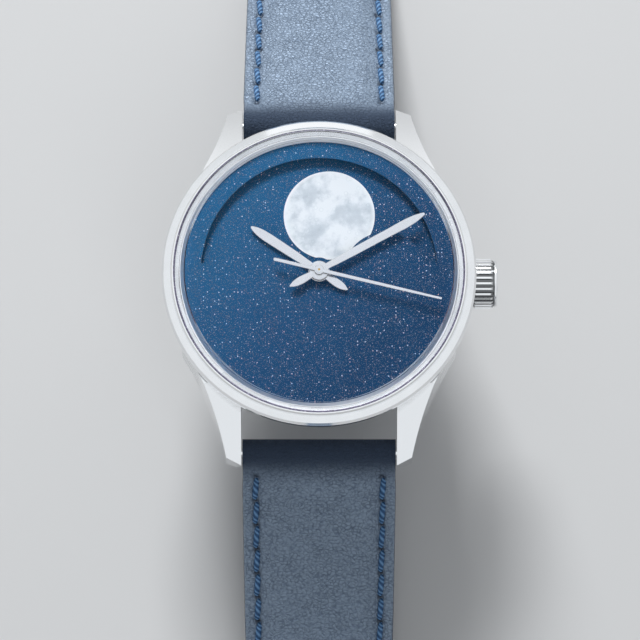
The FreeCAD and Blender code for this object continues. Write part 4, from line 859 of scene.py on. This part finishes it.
# Painted light and shade on the grain: pebble tops lighter, creases darker, over the leather's dye.
dye_and_grain_shade = ramp(tree, grain.outputs["Mask"],
           [(0.12, (0.12, 0.165, 0.235)), (0.6, (0.235, 0.305, 0.4))])
worn = add(tree, "ShaderNodeTexNoise", Scale=90.0, Detail=3.0)
join(tree, place_of(tree), worn.inputs["Vector"])
worn_share = ramp(tree, worn.outputs["Fac"], [(0.35, (0, 0, 0)), (0.8, (1, 1, 1))])
worn_part = calc(tree, "MULTIPLY", worn_share.outputs["Color"], 0.08)
faded = mix_colour(tree, worn_part, dye_and_grain_shade.outputs["Color"], (0.24, 0.3, 0.39))
# Painted shade: the leather turns almost black in the pits where each stitch dives.
pit_shade_value = add(tree, "ShaderNodeAttribute", attribute_name="pit")
pit_shade_share = calc(tree, "MULTIPLY", pit_shade_value.outputs["Fac"], 0.95)
pit_shaded = mix_colour(tree, pit_shade_share, faded, (0.008, 0.012, 0.025))
fold_shade_value = add(tree, "ShaderNodeAttribute", attribute_name="fold_shade")
# Painted shade: the leather darkens near the bar, where the case overhangs it.
fold_shaded = mix_colour(tree, fold_shade_value.outputs["Fac"], pit_shaded, (0.022, 0.034, 0.06))
join(tree, fold_shaded, shader.inputs["Base Color"])
gloss = ramp(tree, grain.outputs["Mask"], [(0.05, (0.55,) * 3), (0.5, (0.4,) * 3)])
dulled = mix_colour(tree, fold_shade_value.outputs["Fac"], gloss.outputs["Color"], (0.9, 0.9, 0.9))
join(tree, dulled, shader.inputs["Roughness"])
glaze = calc(tree, "MULTIPLY_ADD", fold_shade_value.outputs["Fac"], -GLAZE, GLAZE)
join(tree, glaze, shader.inputs["Coat Weight"])
shader.inputs["Coat Roughness"].default_value = 0.45
join(tree, grain.outputs["Normal"], shader.inputs["Normal"])
shader.inputs["Specular IOR Level"].default_value = 1.0
shader.inputs["Specular Tint"].default_value = (0.6, 0.76, 1.0, 1)

# %% Edge paint and lining
edge_paint, tree, shader = material("edge_paint")
edge_noise = add(tree, "ShaderNodeTexNoise", Scale=1300.0, Detail=3.0)
join(tree, place_of(tree), edge_noise.inputs["Vector"])
edge_tone = ramp(tree, edge_noise.outputs["Fac"],
                 [(0.3, (0.03, 0.042, 0.065)), (0.8, (0.07, 0.09, 0.13))])
edge_bump = add(tree, "ShaderNodeBump", Strength=0.2, Distance=0.0001)
join(tree, edge_noise.outputs["Fac"], edge_bump.inputs["Height"])
join(tree, edge_tone.outputs["Color"], shader.inputs["Base Color"])
join(tree, edge_bump.outputs["Normal"], shader.inputs["Normal"])
shader.inputs["Roughness"].default_value = 0.45

strap_lining, tree, shader = material("strap_lining")
nap = use_group(tree, leather_grain, Size=0.7, Depth=0.25)
# Painted light and shade on the nap: raised tops lighter, creases darker.
nap_tone_and_shade = ramp(tree, nap.outputs["Mask"], [(0.1, (0.2, 0.22, 0.26)), (0.7, (0.34, 0.37, 0.42))])
join(tree, nap_tone_and_shade.outputs["Color"], shader.inputs["Base Color"])
join(tree, nap.outputs["Normal"], shader.inputs["Normal"])
shader.inputs["Roughness"].default_value = 0.75
print("leathers", strap_leather.name, edge_paint.name, strap_lining.name)

# %% [markdown]
# The half at 6 o'clock is long, pointed and punched with seven holes. The half at 12 o'clock ends
# in two small loops round the buckle's bar, with a slot for the tongue between them.

# %% Both halves of the strap
EYE_R = 1.3 * MM
EYE_BORE = 0.82 * MM
EYE_AT = SHORT + 1.2 * MM
SLOT_AT = EYE_AT - 3.0 * MM
ROLL_BORE = 0.96 * MM
EYE_FROM = 1.5 * MM
HOLE_STEP = 6.5 * MM
LAST_HOLE = LONG - 24 * MM
HOLES = [(LAST_HOLE - k * HOLE_STEP, 1.0 * MM) for k in range(7)]


def lining_top(across, along, half, side):
    """Upper face of the lining, flat under the leather."""
    return -half_t(along) + LINING_T, 0.0


def lining_low(across, along, half):
    """Underside of the lining, with a rolled edge."""
    roll = 1 - min(1.0, (half - abs(across)) / EDGE_ROLL)
    return -half_t(along) + EDGE_ROLL * (1 - math.sqrt(max(0.0, 1 - roll * roll))) * 0.7


def leather_low(across, along, half):
    """Underside of the leather, where it meets the lining."""
    return -half_t(along) + LINING_T * smooth(0.0, 3 * MM, along)


leather_6 = strap_layer(-1, LONG, True, leather_low, skin_rise, holes=HOLES)
hollow_out(leather_6, 0.0, ROLL_BORE)
add_loop(leather_6, 0.0, ROLL_R, ROLL_BORE, -WIDE_HALF, WIDE_HALF)
strap_6 = finish_strap(leather_6, "strap_6_skin", -1, "strap_6", ["strap_6_leather"],
                       [strap_leather, edge_paint])
lining_6 = strap_layer(-1, LONG - 0.1 * MM, True, lining_low, lining_top, holes=HOLES)
finish_strap(lining_6, "strap_6_inner", -1, "strap_6", ["strap_6_lining"],
             [strap_lining, edge_paint])

leather_12 = strap_layer(1, EYE_AT, False, leather_low, skin_rise, slot_at=SLOT_AT)
hollow_out(leather_12, 0.0, ROLL_BORE)
hollow_out(leather_12, EYE_AT, EYE_BORE)
add_loop(leather_12, 0.0, ROLL_R, ROLL_BORE, -WIDE_HALF, WIDE_HALF)
add_loop(leather_12, EYE_AT, EYE_R, EYE_BORE, -END_HALF, -EYE_FROM)
add_loop(leather_12, EYE_AT, EYE_R, EYE_BORE, EYE_FROM, END_HALF)
strap_12 = finish_strap(leather_12, "strap_12_skin", 1, "strap_12", ["strap_12_leather"],
                        [strap_leather, edge_paint])
lining_12 = strap_layer(1, SHORT, False, lining_low, lining_top, slot_at=SLOT_AT)
finish_strap(lining_12, "strap_12_inner", 1, "strap_12", ["strap_12_lining"],
             [strap_lining, edge_paint])
print("strap faces", len(strap_6.data.polygons), len(strap_12.data.polygons))

# %% [markdown]
# Saddle stitching is a thick waxed thread of twisted strands. Each visible stitch is a plump
# capsule that dives into the leather at both ends and leans a little. A sphere is stretched and
# its waist ribbed by a winding wave, and a map of turns round the thread drives the fine twist,
# in relief and in painted light and shade: crests lighter, the grooves between strands darker.

# %% Thread and stitches
RIBS = 5
STRANDS = 2
thread, tree, shader = material("waxed_thread")
turns = add(tree, "ShaderNodeUVMap", uv_map="twist")
twist = add(tree, "ShaderNodeTexWave", wave_type="BANDS", bands_direction="DIAGONAL",
            wave_profile="SIN", Scale=RIBS * 0.2 * math.pi)
join(tree, turns.outputs["UV"], twist.inputs["Vector"])
# Painted light and shade on the twist: crests lighter, grooves between strands darker.
twist_light_and_shade = ramp(tree, twist.outputs["Fac"],
                   [(0.1, (0.025, 0.075, 0.18)), (0.55, (0.06, 0.17, 0.36)),
                    (1.0, (0.18, 0.35, 0.6))])
twist_bump = add(tree, "ShaderNodeBump", Strength=0.8, Distance=0.0001)
join(tree, twist.outputs["Fac"], twist_bump.inputs["Height"])
join(tree, twist_light_and_shade.outputs["Color"], shader.inputs["Base Color"])
join(tree, twist_bump.outputs["Normal"], shader.inputs["Normal"])
shader.inputs["Roughness"].default_value = 0.5
shader.inputs["Specular IOR Level"].default_value = 0.3
STITCH_L = 3.05 * MM
STITCH_R = 0.38 * MM
LEAN = math.radians(5)
DIVE = 0.3 * MM
STITCH_LIFT = 0.14 * MM


def add_stitch(shape, across, along, rise):
    """One stitch, lying along the strap, with its map of turns."""
    turn_map = shape.loops.layers.uv.get("twist") or shape.loops.layers.uv.new("twist")
    made = bmesh.ops.create_uvsphere(shape, u_segments=10, v_segments=14, radius=1.0)["verts"]
    faces = {f for v in made for f in v.link_faces}
    for face in faces:
        for loop in face.loops:
            point = loop.vert.co
            turn = math.atan2(point.y, point.x) / (2 * math.pi)
            middle = face.calc_center_median()
            if abs(turn - math.atan2(middle.y, middle.x) / (2 * math.pi)) > 0.5:
                turn = -turn
            loop[turn_map].uv = (point.z / 2, turn * STRANDS / RIBS)
    for vert in made:
        x, y, z = vert.co
        flat_end = math.copysign(abs(z) ** 0.7, z)
        plump = max(0.0, 1 - z * z) ** 0.25
        length = math.hypot(x, y) or 1.0
        angle = math.atan2(y, x)
        rib = 1 + 0.1 * math.cos(2 * angle - 9 * flat_end)
        vert.co = Vector((x / length * plump * STITCH_R * rib, flat_end * STITCH_L / 2,
                          y / length * plump * STITCH_R * rib))
        vert.co.z -= abs(flat_end) ** 3 * DIVE
    move = Matrix.Translation((across, along, rise)) @ Matrix.Rotation(LEAN, 4, "Z")
    bmesh.ops.transform(shape, verts=made, matrix=move)


def stitch_rows(name, side, length, pointed, last):
    """Both long rows of stitches on one half of the strap."""
    shape = bmesh.new()
    for k in range(1, int(last / PITCH[side])):
        along = (k + 0.5) * PITCH[side] + PHASE[side]
        half = strap_half(along, length, pointed)
        for edge in (1, -1):
            across = edge * (half - STITCH_INSET)
            rise = skin_rise(across, along, half, side)[0]
            add_stitch(shape, across, along, rise + STITCH_LIFT)
    body = "strap_12" if side == 1 else "strap_6"
    return finish_strap(shape, name, side, body, [], [thread])


rows_12 = stitch_rows("stitches_12", 1, SHORT, False, SHORT - 2 * MM)
rows_6 = stitch_rows("stitches_6", -1, LONG, True, LONG - 9 * MM)
print("stitch faces", len(rows_12.data.polygons) + len(rows_6.data.polygons))

# %% [markdown]
# The keepers are strips of the same leather bent into a loop with soft corners. A narrow grid is
# wrapped round a rounded rectangle, its ends are merged, and the band is thickened inwards.

# %% Keepers
KEEPER_HALF = 9.6 * MM
KEEPER_H = 5.7 * MM
KEEPER_T = 0.8 * MM
KEEPER_W = 5.0 * MM
KEEPER_CORNER = 0.6 * MM
KEEPER_CROWN = 0.18 * MM
KEEPER_FOOT = 0.25 * MM
FIXED_BACK = 8 * MM
LOOSE_BACK = 22 * MM
foot_z = strap_place(60 * MM, 1)[1] - END_T / 2
keeper_low = foot_z - KEEPER_FOOT


def loop_point(share, outset):
    """A point on the keeper's rounded rectangle, at a share of the way round."""
    corner = KEEPER_CORNER + outset
    straight_x, straight_z = KEEPER_HALF - KEEPER_CORNER, KEEPER_H / 2 - KEEPER_CORNER
    arc = corner * math.pi / 2
    legs = [2 * straight_z, arc, 2 * straight_x, arc] * 2
    left = share * sum(legs)
    step = 0
    while left > legs[step] and step < 7:
        left -= legs[step]
        step += 1
    heading = (step // 2) * math.pi / 2
    out = Vector((math.cos(heading), math.sin(heading)))
    ahead = Vector((-math.sin(heading), math.cos(heading)))
    size = [(straight_x, straight_z), (straight_z, straight_x)][(step // 2) % 2]
    if step % 2 == 0:
        spot = out * (size[0] + corner) + ahead * (left - size[1])
    else:
        swing = left / corner
        spot = (out * (size[0] + corner * math.cos(swing))
                + ahead * (size[1] + corner * math.sin(swing)))
    return spot


def make_keeper(name, middle_y, body, node):
    """One keeper loop, made round the strap."""
    shape = bmesh.new()
    bmesh.ops.create_grid(shape, x_segments=96, y_segments=8, size=1.0)
    outer = list(shape.verts)
    grown = bmesh.ops.extrude_face_region(shape, geom=list(shape.faces))["geom"]
    inner = [g for g in grown if isinstance(g, bmesh.types.BMVert)]
    for verts, outset in ((outer, KEEPER_T), (inner, 0.0)):
        for vert in verts:
            share, wide = (vert.co.x + 1) / 2, vert.co.y
            crown = KEEPER_CROWN * wide ** 4 if outset else 0.0
            spot = loop_point(share, outset - crown)
            vert.co = Vector((spot.x, middle_y + wide * KEEPER_W / 2,
                              keeper_low + KEEPER_H / 2 + spot.y))
    bmesh.ops.remove_doubles(shape, verts=shape.verts, dist=1e-6)
    bmesh.ops.recalc_face_normals(shape, faces=shape.faces)
    for face in shape.faces:
        face.smooth = True
    mesh = bpy.data.meshes.new(name)
    shape.to_mesh(mesh)
    shape.free()
    mesh.materials.append(strap_leather)
    made = bpy.data.objects.new(name, mesh)
    bpy.context.scene.collection.objects.link(made)
    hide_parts(node)
    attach(made, body)
    return made


buckle_y = strap_place(EYE_AT, 1)[0]
make_keeper("fixed_loop", buckle_y - FIXED_BACK, "strap_12", "fixed_keeper")
make_keeper("loose_loop", buckle_y - LOOSE_BACK, "loose_keeper", "loose_keeper")
print("keepers at y in mm", [round((buckle_y - back) / MM, 1) for back in (FIXED_BACK, LOOSE_BACK)])
